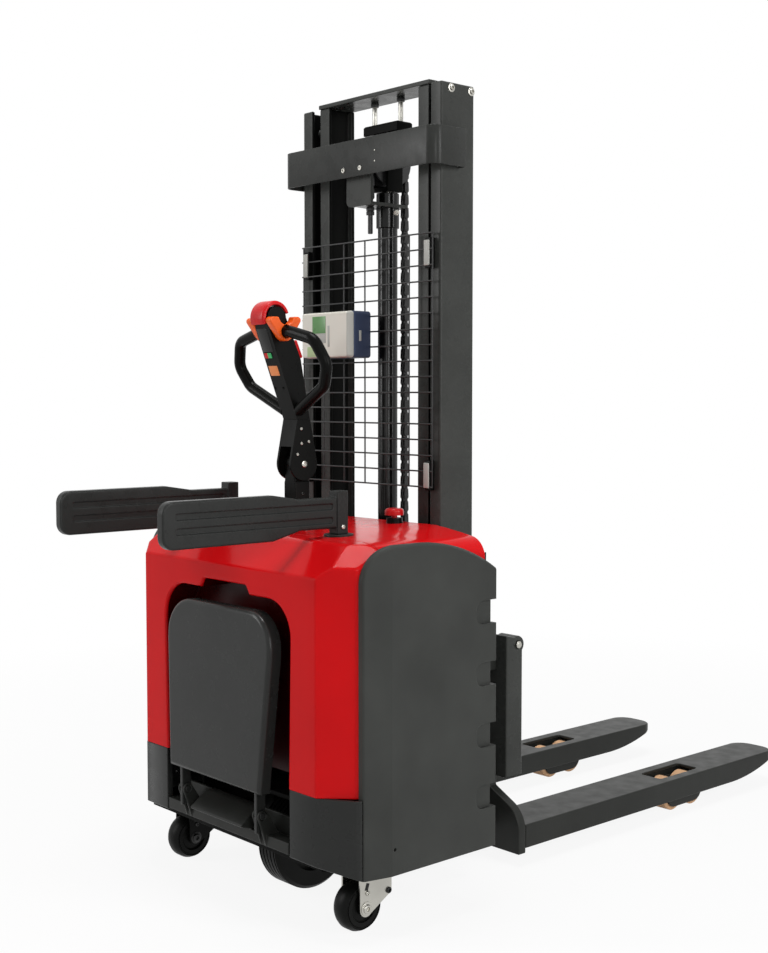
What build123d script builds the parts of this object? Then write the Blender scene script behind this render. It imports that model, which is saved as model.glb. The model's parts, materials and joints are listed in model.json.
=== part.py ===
"""Electric rider stacker with a two-stage mast, folding platform and swing-out arm guards.

Millimetres, +Z up, +Y towards the fork tips, +X to the right of a driver who faces the forks.
The origin lies on the floor, in the middle of the overall length and width.
"""
import os
from math import cos, radians, sin, tan

from build123d import *

os.makedirs("parts", exist_ok=True)

# Clearances
RUN_GAP = 0.05          # radial, shaft in its bore
SEAT_GAP = 0.3          # between faces that pass or face each other
GUIDE_GAP = 0.3         # radial, mast roller in its channel
CUT_MARGIN = 1          # how far an open cut starts outside its face

# Mast
MAST_REAR_Y = -312
OUTER_HALF_WIDTH = 251
OUTER_DEPTH = 106
OUTER_FLANGE = 36
OUTER_WEB = 10
OUTER_BOTTOM_Z = 70
OUTER_TOP_Z = 1865
MAST_STEP = 52           # from the outer rail's outside to the inner rail's
INNER_DEPTH = 84
INNER_FLANGE = 38
INNER_WEB = 8
RAIL_FLANGE_T = 10
INNER_BOTTOM_Z = 130
INNER_TOP_RISE = 2
TOP_PLATE_T = 10
TOP_PLATE_OVERHANG = 2
INNER_TIE_H = 60
INNER_TIE_T = 12
INNER_HALF_WIDTH = OUTER_HALF_WIDTH - MAST_STEP
INNER_TOP_Z = OUTER_TOP_Z + INNER_TOP_RISE
MAST_MID_Y = MAST_REAR_Y + OUTER_DEPTH / 2
MAST_FRONT_Y = MAST_REAR_Y + OUTER_DEPTH
INNER_REAR_Y = MAST_MID_Y - INNER_DEPTH / 2
INNER_WEB_MID_X = INNER_HALF_WIDTH - INNER_FLANGE / 2
OUTER_SLOT_R = OUTER_DEPTH / 2 - RAIL_FLANGE_T
INNER_SLOT_R = INNER_DEPTH / 2 - RAIL_FLANGE_T
GUIDE_AXLE_R = 15
ROLLER_AXLE_R = 12
INNER_GUIDE_Z = 190
OUTER_GUIDE_DROP = 50
INNER_GUIDE_W = 32
OUTER_GUIDE_W = 22
GUIDE_SIDE_GAP = 1.5
OUTER_GUIDE_Z = OUTER_TOP_Z - OUTER_GUIDE_DROP

# Lift cylinder, pulley and chain
CYLINDER_Y = -250
BARREL_R = 24
BARREL_BORE_R = 19
GLAND_R = 28
GLAND_H = 84
PISTON_ROD_R = 15
PISTON_H = 25
PISTON_LIFT_OFF = 15
CROSSHEAD_H = 11
CROSSHEAD_REST_GAP = 3
CROSSHEAD_HALF_W = 62
CROSSHEAD_D = 50
CROSSHEAD_PULLEY_GAP = 1
HANGER_BLOCK_H = 24
HANGER_BLOCK_RISE = 4
HANGER_BLOCK_R = 6
HANGER_X = 47
HANGER_R = 6
HANGER_NUT_R = 11
HANGER_NUT_H = 12
PULLEY_DROP = 149
PULLEY_PITCH_R = 56.5
PULLEY_FLANGE_R = 62
PULLEY_HALF_W = 17
PULLEY_AXLE_R = 10
PULLEY_FLARE = 2
YOKE_PLATE_X = 22
YOKE_PLATE_T = 6
CHAIN_PITCH = 15.875
CHAIN_PIN_R = 6.6
CHAIN_WAIST = 8
CHAIN_HALF_W = 9
CHAIN_SIDE_GAP = 1
CHAIN_REAR_Y = CYLINDER_Y - PULLEY_PITCH_R
CHAIN_FRONT_Y = CYLINDER_Y + PULLEY_PITCH_R
PULLEY_Z = INNER_TOP_Z - PULLEY_DROP
CROSSHEAD_TOP_Z = PULLEY_Z - PULLEY_FLANGE_R - CROSSHEAD_PULLEY_GAP
CROSSHEAD_Z = CROSSHEAD_TOP_Z - CROSSHEAD_H
HANGER_BLOCK_Z = PULLEY_Z + PULLEY_FLANGE_R + HANGER_BLOCK_RISE
GLAND_TOP_Z = CROSSHEAD_Z - CROSSHEAD_REST_GAP
BARREL_TOP_Z = GLAND_TOP_Z - GLAND_H
CLAMP_DROP = 36
CLAMP_Z = GLAND_TOP_Z - CLAMP_DROP
CLAMP_T = 8
CLAMP_LEFT_X = -54
CLAMP_RIGHT_X = 35
CLAMP_CORNER_R = 15
CLAMP_SHELF_LEFT_X = -27
CLAMP_RIM = 5
ANCHOR_R = 6
ANCHOR_DROP = 65
ANCHOR_RISE = 15
ANCHOR_NUT_R = 10
ANCHOR_NUT_H = 20

# Mast cover, guard mesh and charger
COVER_REAR_Y = -341
COVER_FRONT_Y = -256
COVER_SIDE_GAP = 24
COVER_DROP = 106
COVER_H = 87
COVER_T = 5
COVER_CORNER_R = 55
COVER_SPACER_W = 24
COVER_SPACER_H = 50
COVER_HALF_W = OUTER_HALF_WIDTH + COVER_SIDE_GAP
COVER_TOP_Z = OUTER_TOP_Z - COVER_DROP
COVER_BOTTOM_Z = COVER_TOP_Z - COVER_H
MESH_INSET = 13
MESH_BOTTOM_Z = 935
MESH_TOP_Z = 1525
MESH_WIRE = 3.2
MESH_BORDER = 6
MESH_COLUMNS = 6
MESH_ROWS = 16
MESH_STANDOFF = 12
MESH_T = 3.2
MESH_TAB_INSET = 22
MESH_TAB_W = 20
MESH_TAB_H = 56
MESH_TAB_LOW_Z = 968
MESH_TAB_HIGH_Z = 1474
MESH_HALF_W = OUTER_HALF_WIDTH - MESH_INSET
MESH_TAB_X = OUTER_HALF_WIDTH - MESH_TAB_INSET
CHARGER_LEFT_X = -150
CHARGER_RIGHT_X = 26
CHARGER_BOTTOM_Z = 1240
CHARGER_TOP_Z = 1352
CHARGER_BASE_D = 54
CHARGER_COVER_D = 20
CHARGER_CORNER_R = 8
CHARGER_EDGE_R = 4
CHARGER_DRAFT = 8

# Body shell
BODY_REAR_Y = -745
HOOD_FRONT_Y = -322
HOOD_HALF_W = 405
CREASE_INSET = 80
HOOD_SIDE_Y = -684
HOOD_BASE_Z = 310
HOOD_CREASE_Z = 772
HOOD_EDGE_Y = -668
HOOD_EDGE_Z = 838
HOOD_FRONT_Z = 852
HOOD_CROWN_Z = 866
HOOD_SIDE_Z = 828
HOOD_SHOULDER_R = 48
HOOD_CORNER_R = 26
HOOD_CREASE_R = 10
HOOD_EDGE_R = 34
HOOD_RIM_R = 12
HOOD_WALL = 4
HOOD_MARGIN = 60         # how far the forms that trim the hood reach past it
HOOD_SEAM_Y = -622
HOOD_SEAM_GAP = 2
SEAT_EDGE = 1
CORNER_FACET_Z = 792
CORNER_FACET_TILT = 44
RECESS_HALF_W = 238
RECESS_FOOT_HALF_W = 231
RECESS_WAIST_Z = 620
RECESS_TOP_Z = 712
RECESS_CORNER_R = 78
RECESS_D = 82
NOTCH_HALF_W = 80
NOTCH_FOOT_HALF_W = 96
NOTCH_TOP_Z = 733
NOTCH_R = 12
RECESS_LIP_R = 7
POST_HOLE_R = 44
PANEL_T = 15
PANEL_GAP = 0.5
PANEL_BOTTOM_Z = 138
PANEL_REAR_Y = -682
PANEL_FRONT_Y = -302
PANEL_FRONT_TOP_Z = 768
PANEL_CROWN_Y = -536
PANEL_CROWN_Z = 838
PANEL_CORNER_R = 80
PANEL_EDGE_R = 6
POCKET_COUNT = 4
POCKET_PITCH = 138.5
POCKET_LOW_Z = 255
POCKET_H = 53
POCKET_REACH = 62
POCKET_D = 9
POCKET_R = 20
POCKET_SETBACK = 9
PANEL_HOLE_R = 4
PANEL_HOLE_Y = -607
PANEL_HOLE_Z = 194
SKIRT_INNER_X = 236
SKIRT_T = 8
SKIRT_REAR_Z = 163
SKIRT_CORNER_Y = -693
SKIRT_CORNER_R = 18
BEND_Y = -615            # behind this the sides of the body turn inwards
BEND_IN = 16
CREASE_X = HOOD_HALF_W - CREASE_INSET
HOOD_REAR_HALF_W = HOOD_HALF_W - BEND_IN
PANEL_INNER_X = HOOD_HALF_W + PANEL_GAP
PANEL_OUTER_X = PANEL_INNER_X + PANEL_T

# Chassis
FLOOR_Z = 150
FLOOR_T = 8
FLOOR_INSET = 7          # floor plate and bulkhead, inside the hood
FLOOR_REAR_Y = -728
BULKHEAD_T = 8
BULKHEAD_BOTTOM_Z = 90
BULKHEAD_TOP_Z = 800
WELL_R = 152
BRIDGE_HALF_W = 178
BRIDGE_WALL_T = 8
BRIDGE_Z = 258
BRIDGE_T = 10
BRIDGE_HALF_L = 150
FOOT_BEAM_TOP_Z = 125
SPINE_X = 120
SPINE_W = 50
CROSS_REAR_Y = -46
CROSS_FRONT_Y = 52
LEG_BOTTOM_Z = 46
LEG_TOP_Z = 88
LEG_W = 104
LEG_T = 6
LEG_END_Y = 750
LEG_WINDOW_L = 168
FLOOR_TOP_Z = FLOOR_Z + FLOOR_T
FLOOR_HALF_W = HOOD_HALF_W - FLOOR_INSET

# Forks and carriage
FORK_MID_X = 223.5
FORK_W = 132
FORK_T = 8
FORK_BOTTOM_Z = 43
FORK_TOP_Z = 101
FORK_REAR_Y = -55
FORK_TIP_Y = 1043
FORK_TAPER_Y = 803
FORK_TIP_Z = 87
FORK_BELLY_Y = 935
FORK_BELLY_Z = 55
FORK_CAVITY_Y = 778
FORK_TIP_R = 48
FORK_INNER_WALL_Y = 62
FORK_EDGE_R = 4
WINDOW_REAR_Y = 524
WINDOW_FRONT_Y = 694
WINDOW_W = 68
WINDOW_R = 10
HEEL_T = 26
HEEL_BOTTOM_Z = 31
HEEL_INNER_X = 165
HEEL_ARC_Z = 88
HEEL_ARC_R = 70
HEEL_ARC_SWEEP = 63
HEEL_CENTRE_Z = 142
CARRIAGE_LOWER_TOP_Z = 240
CARRIAGE_TIE_HALF_W = 190
CARRIAGE_UPPER_Z = 470
CARRIAGE_UPPER_H = 60
CARRIAGE_SIDE_STEP = 61   # from the inner rail's outside to the carriage plate
CARRIAGE_SIDE_X = INNER_HALF_WIDTH - CARRIAGE_SIDE_STEP
CARRIAGE_SIDE_T = 12
CARRIAGE_SIDE_BOTTOM_Z = 160
CARRIAGE_REAR_Y = -284
CARRIAGE_NOSE_R = 40
CARRIAGE_BAR_Z = 205
CARRIAGE_BAR_H = 30
CARRIAGE_BAR_D = 26
CARRIAGE_ROLLER_LOW_Z = 225
CARRIAGE_ROLLER_HIGH_Z = 470
CARRIAGE_ROLLER_W = 12
UPRIGHT_X = 160
UPRIGHT_W = 62
UPRIGHT_D = 58
UPRIGHT_BOTTOM_Z = 202
UPRIGHT_TOP_Z = 545
UPRIGHT_TOP_RISE = 13.5
UPRIGHT_EYE_R = 22
UPRIGHT_EYE_PROUD = 6
UPRIGHT_EYE_DROP = 13
TIE_SHAFT_R = 9
TIE_SHAFT_PROUD = 5
TIE_SHAFT_BEVEL = 1.8

# Load rollers
LOAD_ROLLER_R = 43.5
LOAD_ROLLER_W = 56
LOAD_ROLLER_BEVEL = 3
LOAD_AXLE_R = 8
ROLLER_MID_Y = 636
ROLLER_SPACING = 90
BOGIE_PIVOT_Z = 60
BOGIE_PIVOT_R = 8
BOGIE_PLATE_T = 5
BOGIE_PLATE_GAP = 2
BOGIE_EDGE_R = 33

# Drive unit and steering
STEER_Y = -535
DRIVE_R = 115
DRIVE_W = 76
DRIVE_X = 28
DRIVE_HUB_R = 72
DRIVE_HUB_DISH = 16
DRIVE_AXLE_R = 20
DRIVE_RIBS = 5
DRIVE_RIB_W = 4
DRIVE_RIB_D = 4
DRIVE_BEVEL = 8
GEARBOX_W = 38
GEARBOX_GAP = 2
GEARBOX_R = 62
TURRET_FLANGE_R = 92
TURRET_FLANGE_T = 12
TURRET_NECK_R = 45
TURRET_NECK_H = 26
MOTOR_R = 62
MOTOR_H = 190
MOTOR_CAP_H = 22
MOTOR_CAP_R = 58
COLUMN_R = 20
POST_W = 42
POST_D = 44
POST_BOTTOM_Z = 856
POST_TOP_Z = 951
EAR_W = 38
TILT_Z = 992
TILT_PIN_R = 7

# Tiller
YOKE_W = 53
YOKE_T = 6
YOKE_R = 39
YOKE_TOP_Z = 1094
YOKE_TOP_D = 38
YOKE_WEB_Z = 1031.5
HEAD_W = 52
HEAD_LEAN = 21
HEAD_ROOT_D = 37
HEAD_D = 64
HEAD_SHOULDER_Z = 1232
HEAD_TOP_Y = -612
HEAD_TOP_Z = 1326
HEAD_TOP_R = 25
CAP_T = 9
CAP_GAP = 5
CAP_START = 10
CAP_END = 196
STEM_R = 5
STEM_DEPTH = 18
TONGUE_W = 40
TONGUE_D = 24
TONGUE_Z = 1036
THROTTLE_Y = -600
THROTTLE_Z = 1294
THROTTLE_HUB_R = 21
THROTTLE_LOBE_R = 8
THROTTLE_SCOOP_RISE = 37
THROTTLE_W = 21
THROTTLE_REAR = (-37, 25)
THROTTLE_FRONT = (34, 27)
GRIP_R = 13.5
GRIP_LEAN = 16
GRIP_REACH = 164
GRIP_SHOULDER = 138
GRIP_DROP = 20
GRIP_WAIST = 78
GRIP_ELBOW = 128
GRIP_FOOT = 186
GRIP_BEND_R = 34
ROCKER_X = -8
ROCKER_W = 26
ROCKER_L = 13
ROCKER_T = 6
ROCKER_PROUD = 2
ROCKER_GAP = 0.6
ROCKER_FACE_Z = 1241

# Emergency switch
STOP_X = 137
STOP_Y = -352
STOP_SEAT_Z = 846
STOP_BODY_R = 19
STOP_BODY_H = 17
STOP_BODY_DEPTH = 30
STOP_SHANK_R = 13
STOP_HEAD_R = 22.5
STOP_HEAD_H = 16
STOP_HEAD_EDGE_R = 8
STOP_STEM_R = 7
STOP_TRAVEL_GAP = 6.5

# Arm guards
GUARD_X = 205
GUARD_Y = -580
GUARD_SEAT_Z = 838
GUARD_FLANGE_R = 33
GUARD_FLANGE_T = 7
GUARD_TUBE_R = 17
GUARD_PIN_R = 13
GUARD_PIN_DEPTH = 120
GUARD_PIN_END_GAP = 1
GUARD_POST_W = 31
GUARD_POST_TOP_Z = 941
GUARD_T = 24
GUARD_END_Y = -1043
GUARD_BLADE_LOW_Z = 841
GUARD_BLADE_HIGH_Z = 939
GUARD_NECK_LOW_Z = 859
GUARD_NECK_HIGH_Z = 927
GUARD_FLARE_Y = -768
GUARD_NECK_Y = -694
GUARD_END_R = 26
GUARD_EDGE_R = 3
GROOVE_H = 13
GROOVE_D = 4
GROOVE_R = 4.3
GROOVE_COUNT = 2
GROOVE_LOW_Z = 877
GROOVE_PITCH = 30
GROOVE_REAR_Y = -1012
GROOVE_FRONT_Y = -606

# Folding platform
HINGE_Y = -755
HINGE_Z = 235
HINGE_PIN_R = 8
PAD_LEAN = 2.5
PAD_BOTTOM = 53
PAD_TOP = 448
PAD_HALF_W = 173
PAD_SHOULDER_HALF_W = 198
PAD_SHOULDER = 350
PAD_T = 34
PAD_REAR = -29
PAD_CORNER_R = 82
PAD_EDGE_R = 11
PAD_ARM_X = 144
PAD_ARM_W = 10
PAD_ARM_D = 24
PAD_ARM_TAIL = 38
LUG_T = 6
LUG_GAP = 1
LUG_R = 13
BRACKET_HALF_W = 232
BRACKET_BEAM_Z = 166
BRACKET_BEAM_H = 26
BRACKET_FRONT_Y = -712
BRACKET_PLATE_T = 8
TREAD_HALF_W = 99
TREAD_T = 5
TREAD_REAR_Y = -772
TREAD_LIP_Z = 205
TREAD_BEND_Y = -730

# Casters
CASTER_INSET = 83
CASTER_X = HOOD_HALF_W - CASTER_INSET
CASTER_Y = -592
CASTER_R = 54
CASTER_W = 46
CASTER_HUB_R = 30
CASTER_HUB_DISH = 6
CASTER_TRAIL = 36
CASTER_AXLE_R = 6
CASTER_PLATE_T = 4
CASTER_PLATE_GAP = 4
CASTER_CROWN_Z = 134
CASTER_CROWN_T = 12
CASTER_STEM_R = 10
CASTER_STEM_H = 30
CASTER_BOSS_R = 18
CASTER_PLATE_FRONT = 36
CASTER_PLATE_KNEE_Z = 76
CASTER_PLATE_HEEL = 12.7
CASTER_CROWN_R = 8

# Inner equipment
BATTERY_SIDE_GAP = 15
BATTERY_BRIDGE_GAP = 12
BATTERY_D = 210
BATTERY_H = 320
BATTERY_BULKHEAD_GAP = 6
BATTERY_X = BRIDGE_HALF_W + BATTERY_BRIDGE_GAP
BATTERY_W = HOOD_HALF_W - BATTERY_SIDE_GAP - BATTERY_X
PUMP_X = -190
PUMP_Z = 560
PUMP_TANK_W = 200
PUMP_TANK_D = 100
PUMP_TANK_H = 150
PUMP_MOTOR_R = 45
PUMP_MOTOR_H = 110
CONTROLLER_X = 180
CONTROLLER_Z = 600
CONTROLLER_W = 210
CONTROLLER_D = 60
CONTROLLER_H = 160
CONTROLLER_FINS = 7
CONTROLLER_FIN_D = 10

# Small fasteners
COVER_SCREW_R = 6
COVER_SCREW_H = 3
COVER_SCREW_RISE = 18
COVER_SCREW_LEFT_X = -60
COVER_SCREW_RIGHT_X = 1
BEAM_BOLT_R = 6.5
BEAM_BOLT_H = 6
BEAM_BOLT_DROP = 13
BEAM_BOLT_REAR = 21.5
BEAM_BOLT_FRONT = 43


def at_x(x):
    """Sketch plane square to X, drawn in Y and Z; extrudes to the right."""
    return Plane.YZ.offset(x)


def at_y(y):
    """Sketch plane square to Y, drawn in X and Z; extrudes to the rear."""
    return Plane.XZ.offset(-y)


def at_z(z):
    """Sketch plane square to Z, drawn in X and Y; extrudes upwards."""
    return Plane.XY.offset(z)


def block(xs, ys, zs, mode=Mode.ADD):
    """Put a block between two places on each axis into the part being built."""
    with Locations(((xs[0] + xs[1]) / 2, (ys[0] + ys[1]) / 2, (zs[0] + zs[1]) / 2)):
        Box(xs[1] - xs[0], ys[1] - ys[0], zs[1] - zs[0], mode=mode)


def rod_x(x0, x1, y, z, radius, mode=Mode.ADD):
    """Put a round bar along X into the part being built."""
    with Locations(Plane(origin=(x0, y, z), z_dir=(1, 0, 0))):
        Cylinder(radius, x1 - x0, align=(Align.CENTER, Align.CENTER, Align.MIN), mode=mode)


def rod_z(x, y, z0, z1, radius, mode=Mode.ADD):
    """Put an upright round bar into the part being built."""
    with Locations((x, y, z0)):
        Cylinder(radius, z1 - z0, align=(Align.CENTER, Align.CENTER, Align.MIN), mode=mode)


def keep(piece, node):
    """Label a finished piece and write its STEP file."""
    piece.part.label = node
    export_step(piece.part, f"parts/{node}.step")


# Base frame: foot beam under the mast, two spines and the support legs inside the forks
leg_outer_x = FORK_MID_X + LEG_W / 2
with BuildPart() as base_frame:
    foot_x = OUTER_HALF_WIDTH - OUTER_FLANGE
    block((-foot_x, foot_x), (MAST_REAR_Y, MAST_FRONT_Y), (OUTER_BOTTOM_Z, FOOT_BEAM_TOP_Z))
    for side in (-1, 1):
        with BuildSketch(at_x(side * SPINE_X - SPINE_W / 2)):
            with BuildLine():
                Polyline(
                    (MAST_FRONT_Y, OUTER_BOTTOM_Z),
                    (CROSS_REAR_Y, LEG_BOTTOM_Z),
                    (CROSS_REAR_Y, LEG_TOP_Z),
                    (MAST_FRONT_Y, FOOT_BEAM_TOP_Z),
                    close=True,
                )
            make_face()
        extrude(amount=SPINE_W)
    block((-leg_outer_x, leg_outer_x), (CROSS_REAR_Y, CROSS_FRONT_Y), (LEG_BOTTOM_Z, LEG_TOP_Z))
    for side in (-1, 1):
        with BuildSketch(at_y(CROSS_FRONT_Y)):
            with Locations((side * FORK_MID_X, LEG_BOTTOM_Z)):
                Rectangle(LEG_W, LEG_TOP_Z - LEG_BOTTOM_Z, align=(Align.CENTER, Align.MIN))
                Rectangle(
                    LEG_W - 2 * LEG_T,
                    LEG_TOP_Z - LEG_BOTTOM_Z - LEG_T,
                    align=(Align.CENTER, Align.MIN),
                    mode=Mode.SUBTRACT,
                )
        extrude(amount=CROSS_FRONT_Y - LEG_END_Y)
        window_x = LEG_W / 2 - LEG_T
        block(
            (side * FORK_MID_X - window_x, side * FORK_MID_X + window_x),
            (ROLLER_MID_Y - LEG_WINDOW_L / 2, ROLLER_MID_Y + LEG_WINDOW_L / 2),
            (LEG_TOP_Z - LEG_T, LEG_TOP_Z),
            mode=Mode.SUBTRACT,
        )
        rod_x(
            side * FORK_MID_X - LEG_W / 2,
            side * FORK_MID_X + LEG_W / 2,
            ROLLER_MID_Y,
            BOGIE_PIVOT_Z,
            BOGIE_PIVOT_R + RUN_GAP,
            mode=Mode.SUBTRACT,
        )
keep(base_frame, "base_frame")

# Chassis: floor plate with the drive well, bulkhead at the mast and the bridge that carries the turret
with BuildPart() as chassis_frame:
    with BuildSketch(at_z(FLOOR_Z)):
        with BuildLine():
            Polyline(
                (FLOOR_HALF_W, MAST_REAR_Y),
                (-FLOOR_HALF_W, MAST_REAR_Y),
                (-FLOOR_HALF_W, BEND_Y),
                (-FLOOR_HALF_W + BEND_IN, HOOD_SIDE_Y),
                (-CREASE_X, FLOOR_REAR_Y),
                (CREASE_X, FLOOR_REAR_Y),
                (FLOOR_HALF_W - BEND_IN, HOOD_SIDE_Y),
                (FLOOR_HALF_W, BEND_Y),
                close=True,
            )
        make_face()
        with Locations((0, STEER_Y)):
            Circle(WELL_R, mode=Mode.SUBTRACT)
        with Locations((-CASTER_X, CASTER_Y), (CASTER_X, CASTER_Y)):
            Circle(CASTER_STEM_R + RUN_GAP, mode=Mode.SUBTRACT)
    extrude(amount=FLOOR_T)
    with BuildSketch(at_y(MAST_REAR_Y)):
        with BuildLine():
            foot_half_w = OUTER_HALF_WIDTH - OUTER_FLANGE
            Polyline(
                (-foot_half_w, BULKHEAD_BOTTOM_Z),
                (foot_half_w, BULKHEAD_BOTTOM_Z),
                (OUTER_HALF_WIDTH, FLOOR_Z),
                (FLOOR_HALF_W, FLOOR_Z),
                (FLOOR_HALF_W, BULKHEAD_TOP_Z),
                (-FLOOR_HALF_W, BULKHEAD_TOP_Z),
                (-FLOOR_HALF_W, FLOOR_Z),
                (-OUTER_HALF_WIDTH, FLOOR_Z),
                close=True,
            )
        make_face()
    extrude(amount=BULKHEAD_T)
    for x in (-BRIDGE_HALF_W, BRIDGE_HALF_W - BRIDGE_WALL_T):
        block(
            (x, x + BRIDGE_WALL_T),
            (STEER_Y - BRIDGE_HALF_L, STEER_Y + BRIDGE_HALF_L),
            (FLOOR_TOP_Z, BRIDGE_Z),
        )
    with BuildSketch(at_z(BRIDGE_Z)):
        with Locations((0, STEER_Y)):
            Rectangle(2 * BRIDGE_HALF_W, 2 * BRIDGE_HALF_L)
            Circle(TURRET_NECK_R + RUN_GAP, mode=Mode.SUBTRACT)
    extrude(amount=BRIDGE_T)
keep(chassis_frame, "chassis_frame")


def hood_form(inset):
    """Outer form of the hood, or the form inside its wall; the inner one is open below and in front."""
    base_z = HOOD_BASE_Z - 2 * inset
    front_y = HOOD_FRONT_Y + 2 * inset
    with BuildPart() as form:
        with BuildSketch(at_z(base_z)) as plan:
            with BuildLine():
                Polyline(
                    (HOOD_HALF_W, front_y),
                    (-HOOD_HALF_W, front_y),
                    (-HOOD_HALF_W, BEND_Y),
                    (-HOOD_REAR_HALF_W, HOOD_SIDE_Y),
                    (-CREASE_X, BODY_REAR_Y),
                    (CREASE_X, BODY_REAR_Y),
                    (HOOD_REAR_HALF_W, HOOD_SIDE_Y),
                    (HOOD_HALF_W, BEND_Y),
                    close=True,
                )
            make_face()
            fillet(plan.vertices().sort_by(Axis.Y)[2:4], HOOD_CORNER_R)
            fillet(plan.vertices().sort_by(Axis.Y)[:2], HOOD_CREASE_R)
            if inset:
                offset(amount=-inset)
        extrude(amount=HOOD_CROWN_Z + HOOD_MARGIN - base_z)
        low_z = base_z - HOOD_MARGIN
        back_y = BODY_REAR_Y - HOOD_MARGIN
        fore_y = front_y + HOOD_MARGIN
        rear_slope = (HOOD_EDGE_Z - HOOD_CREASE_Z) / (HOOD_EDGE_Y - BODY_REAR_Y)
        top_slope = (HOOD_FRONT_Z - HOOD_EDGE_Z) / (HOOD_FRONT_Y - HOOD_EDGE_Y)
        with BuildSketch(at_x(-HOOD_HALF_W - HOOD_MARGIN)) as side:
            with BuildLine():
                Polyline(
                    (back_y, low_z),
                    (fore_y, low_z),
                    (fore_y, HOOD_EDGE_Z + (fore_y - HOOD_EDGE_Y) * top_slope),
                    (HOOD_EDGE_Y, HOOD_EDGE_Z),
                    (back_y, HOOD_CREASE_Z - HOOD_MARGIN * rear_slope),
                    close=True,
                )
            make_face()
            fillet(side.vertices().sort_by(Axis.Y)[-2], HOOD_EDGE_R)
            if inset:
                offset(amount=-inset)
        extrude(amount=2 * (HOOD_HALF_W + HOOD_MARGIN), mode=Mode.INTERSECT)
        with BuildSketch(at_y(fore_y)) as crown:
            with BuildLine():
                Polyline(
                    (-HOOD_HALF_W, HOOD_SIDE_Z),
                    (-HOOD_HALF_W, low_z),
                    (HOOD_HALF_W, low_z),
                    (HOOD_HALF_W, HOOD_SIDE_Z),
                )
                ThreePointArc((HOOD_HALF_W, HOOD_SIDE_Z), (0, HOOD_CROWN_Z), (-HOOD_HALF_W, HOOD_SIDE_Z))
            make_face()
            fillet(crown.vertices().sort_by(Axis.Y)[-2:], HOOD_SHOULDER_R)
            if inset:
                offset(amount=-inset)
        extrude(amount=fore_y - back_y, mode=Mode.INTERSECT)
        lean = Vector(HOOD_SIDE_Y - BODY_REAR_Y, CREASE_X - HOOD_REAR_HALF_W, 0).normalized()
        for side_x in (-1, 1):
            facet_tilt = radians(CORNER_FACET_TILT)
            up = Vector(side_x * lean.X * sin(facet_tilt), lean.Y * sin(facet_tilt), cos(facet_tilt))
            facet = Plane(origin=(side_x * CREASE_X, BODY_REAR_Y, CORNER_FACET_Z), z_dir=up).offset(-inset)
            split(bisect_by=facet, keep=Keep.BOTTOM)
        rim_low_z = HOOD_CREASE_Z - 2 * HOOD_WALL
        rim = form.edges().filter_by(lambda edge: edge.center().Y < HOOD_SIDE_Y)
        fillet(rim.filter_by(lambda edge: edge.center().Z > rim_low_z), HOOD_RIM_R - inset)
    return form.part


def recess_outline(grow):
    """Outline of the platform recess in the rear hood, or of the pan wall around it."""
    with BuildSketch(at_y(BODY_REAR_Y)) as outline:
        with BuildLine():
            Polyline(
                (RECESS_FOOT_HALF_W, HOOD_BASE_Z - 2 * HOOD_WALL),
                (RECESS_HALF_W, RECESS_WAIST_Z),
                (RECESS_HALF_W, RECESS_TOP_Z),
                (-RECESS_HALF_W, RECESS_TOP_Z),
                (-RECESS_HALF_W, RECESS_WAIST_Z),
                (-RECESS_FOOT_HALF_W, HOOD_BASE_Z - 2 * HOOD_WALL),
                close=True,
            )
        make_face()
        fillet(outline.vertices().sort_by(Axis.Y)[-2:], RECESS_CORNER_R)
        with BuildLine():
            Polyline(
                (NOTCH_FOOT_HALF_W, RECESS_TOP_Z - HOOD_WALL),
                (NOTCH_HALF_W, NOTCH_TOP_Z),
                (-NOTCH_HALF_W, NOTCH_TOP_Z),
                (-NOTCH_FOOT_HALF_W, RECESS_TOP_Z - HOOD_WALL),
                close=True,
            )
        make_face()
        fillet(outline.vertices().group_by(Axis.Y)[-1], NOTCH_R)
        if grow:
            offset(amount=grow, kind=Kind.INTERSECTION)
    return outline.sketch


hood_outer = hood_form(0)
hood_inner = hood_form(HOOD_WALL)
recess_cut = recess_outline(0)
recess_wall = recess_outline(HOOD_WALL)
seam_rear_y = HOOD_SEAM_Y - HOOD_SEAM_GAP / 2
seam_front_y = HOOD_SEAM_Y + HOOD_SEAM_GAP / 2
hood_span = (-HOOD_HALF_W, HOOD_HALF_W)
hood_rise = (HOOD_BASE_Z, HOOD_CROWN_Z)

# Rear hood: the sculpted shell with the platform recess
with BuildPart() as rear_hood:
    add(hood_outer)
    add(hood_inner, mode=Mode.SUBTRACT)
    extrude(recess_wall, amount=-(RECESS_D + HOOD_WALL))
    extrude(recess_cut, amount=-RECESS_D, mode=Mode.SUBTRACT)
    add(hood_outer, mode=Mode.INTERSECT)
    block(hood_span, (BODY_REAR_Y, seam_rear_y), hood_rise, mode=Mode.INTERSECT)
    back_edges = rear_hood.faces().sort_by(Axis.Y)[0].edges()
    lip = back_edges.filter_by(lambda edge: abs(edge.center().X) < RECESS_HALF_W + SEAT_EDGE)
    lip = lip.filter_by(lambda edge: HOOD_BASE_Z < edge.center().Z < NOTCH_TOP_Z + SEAT_EDGE)
    fillet(lip, RECESS_LIP_R)
keep(rear_hood, "rear_hood")

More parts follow.
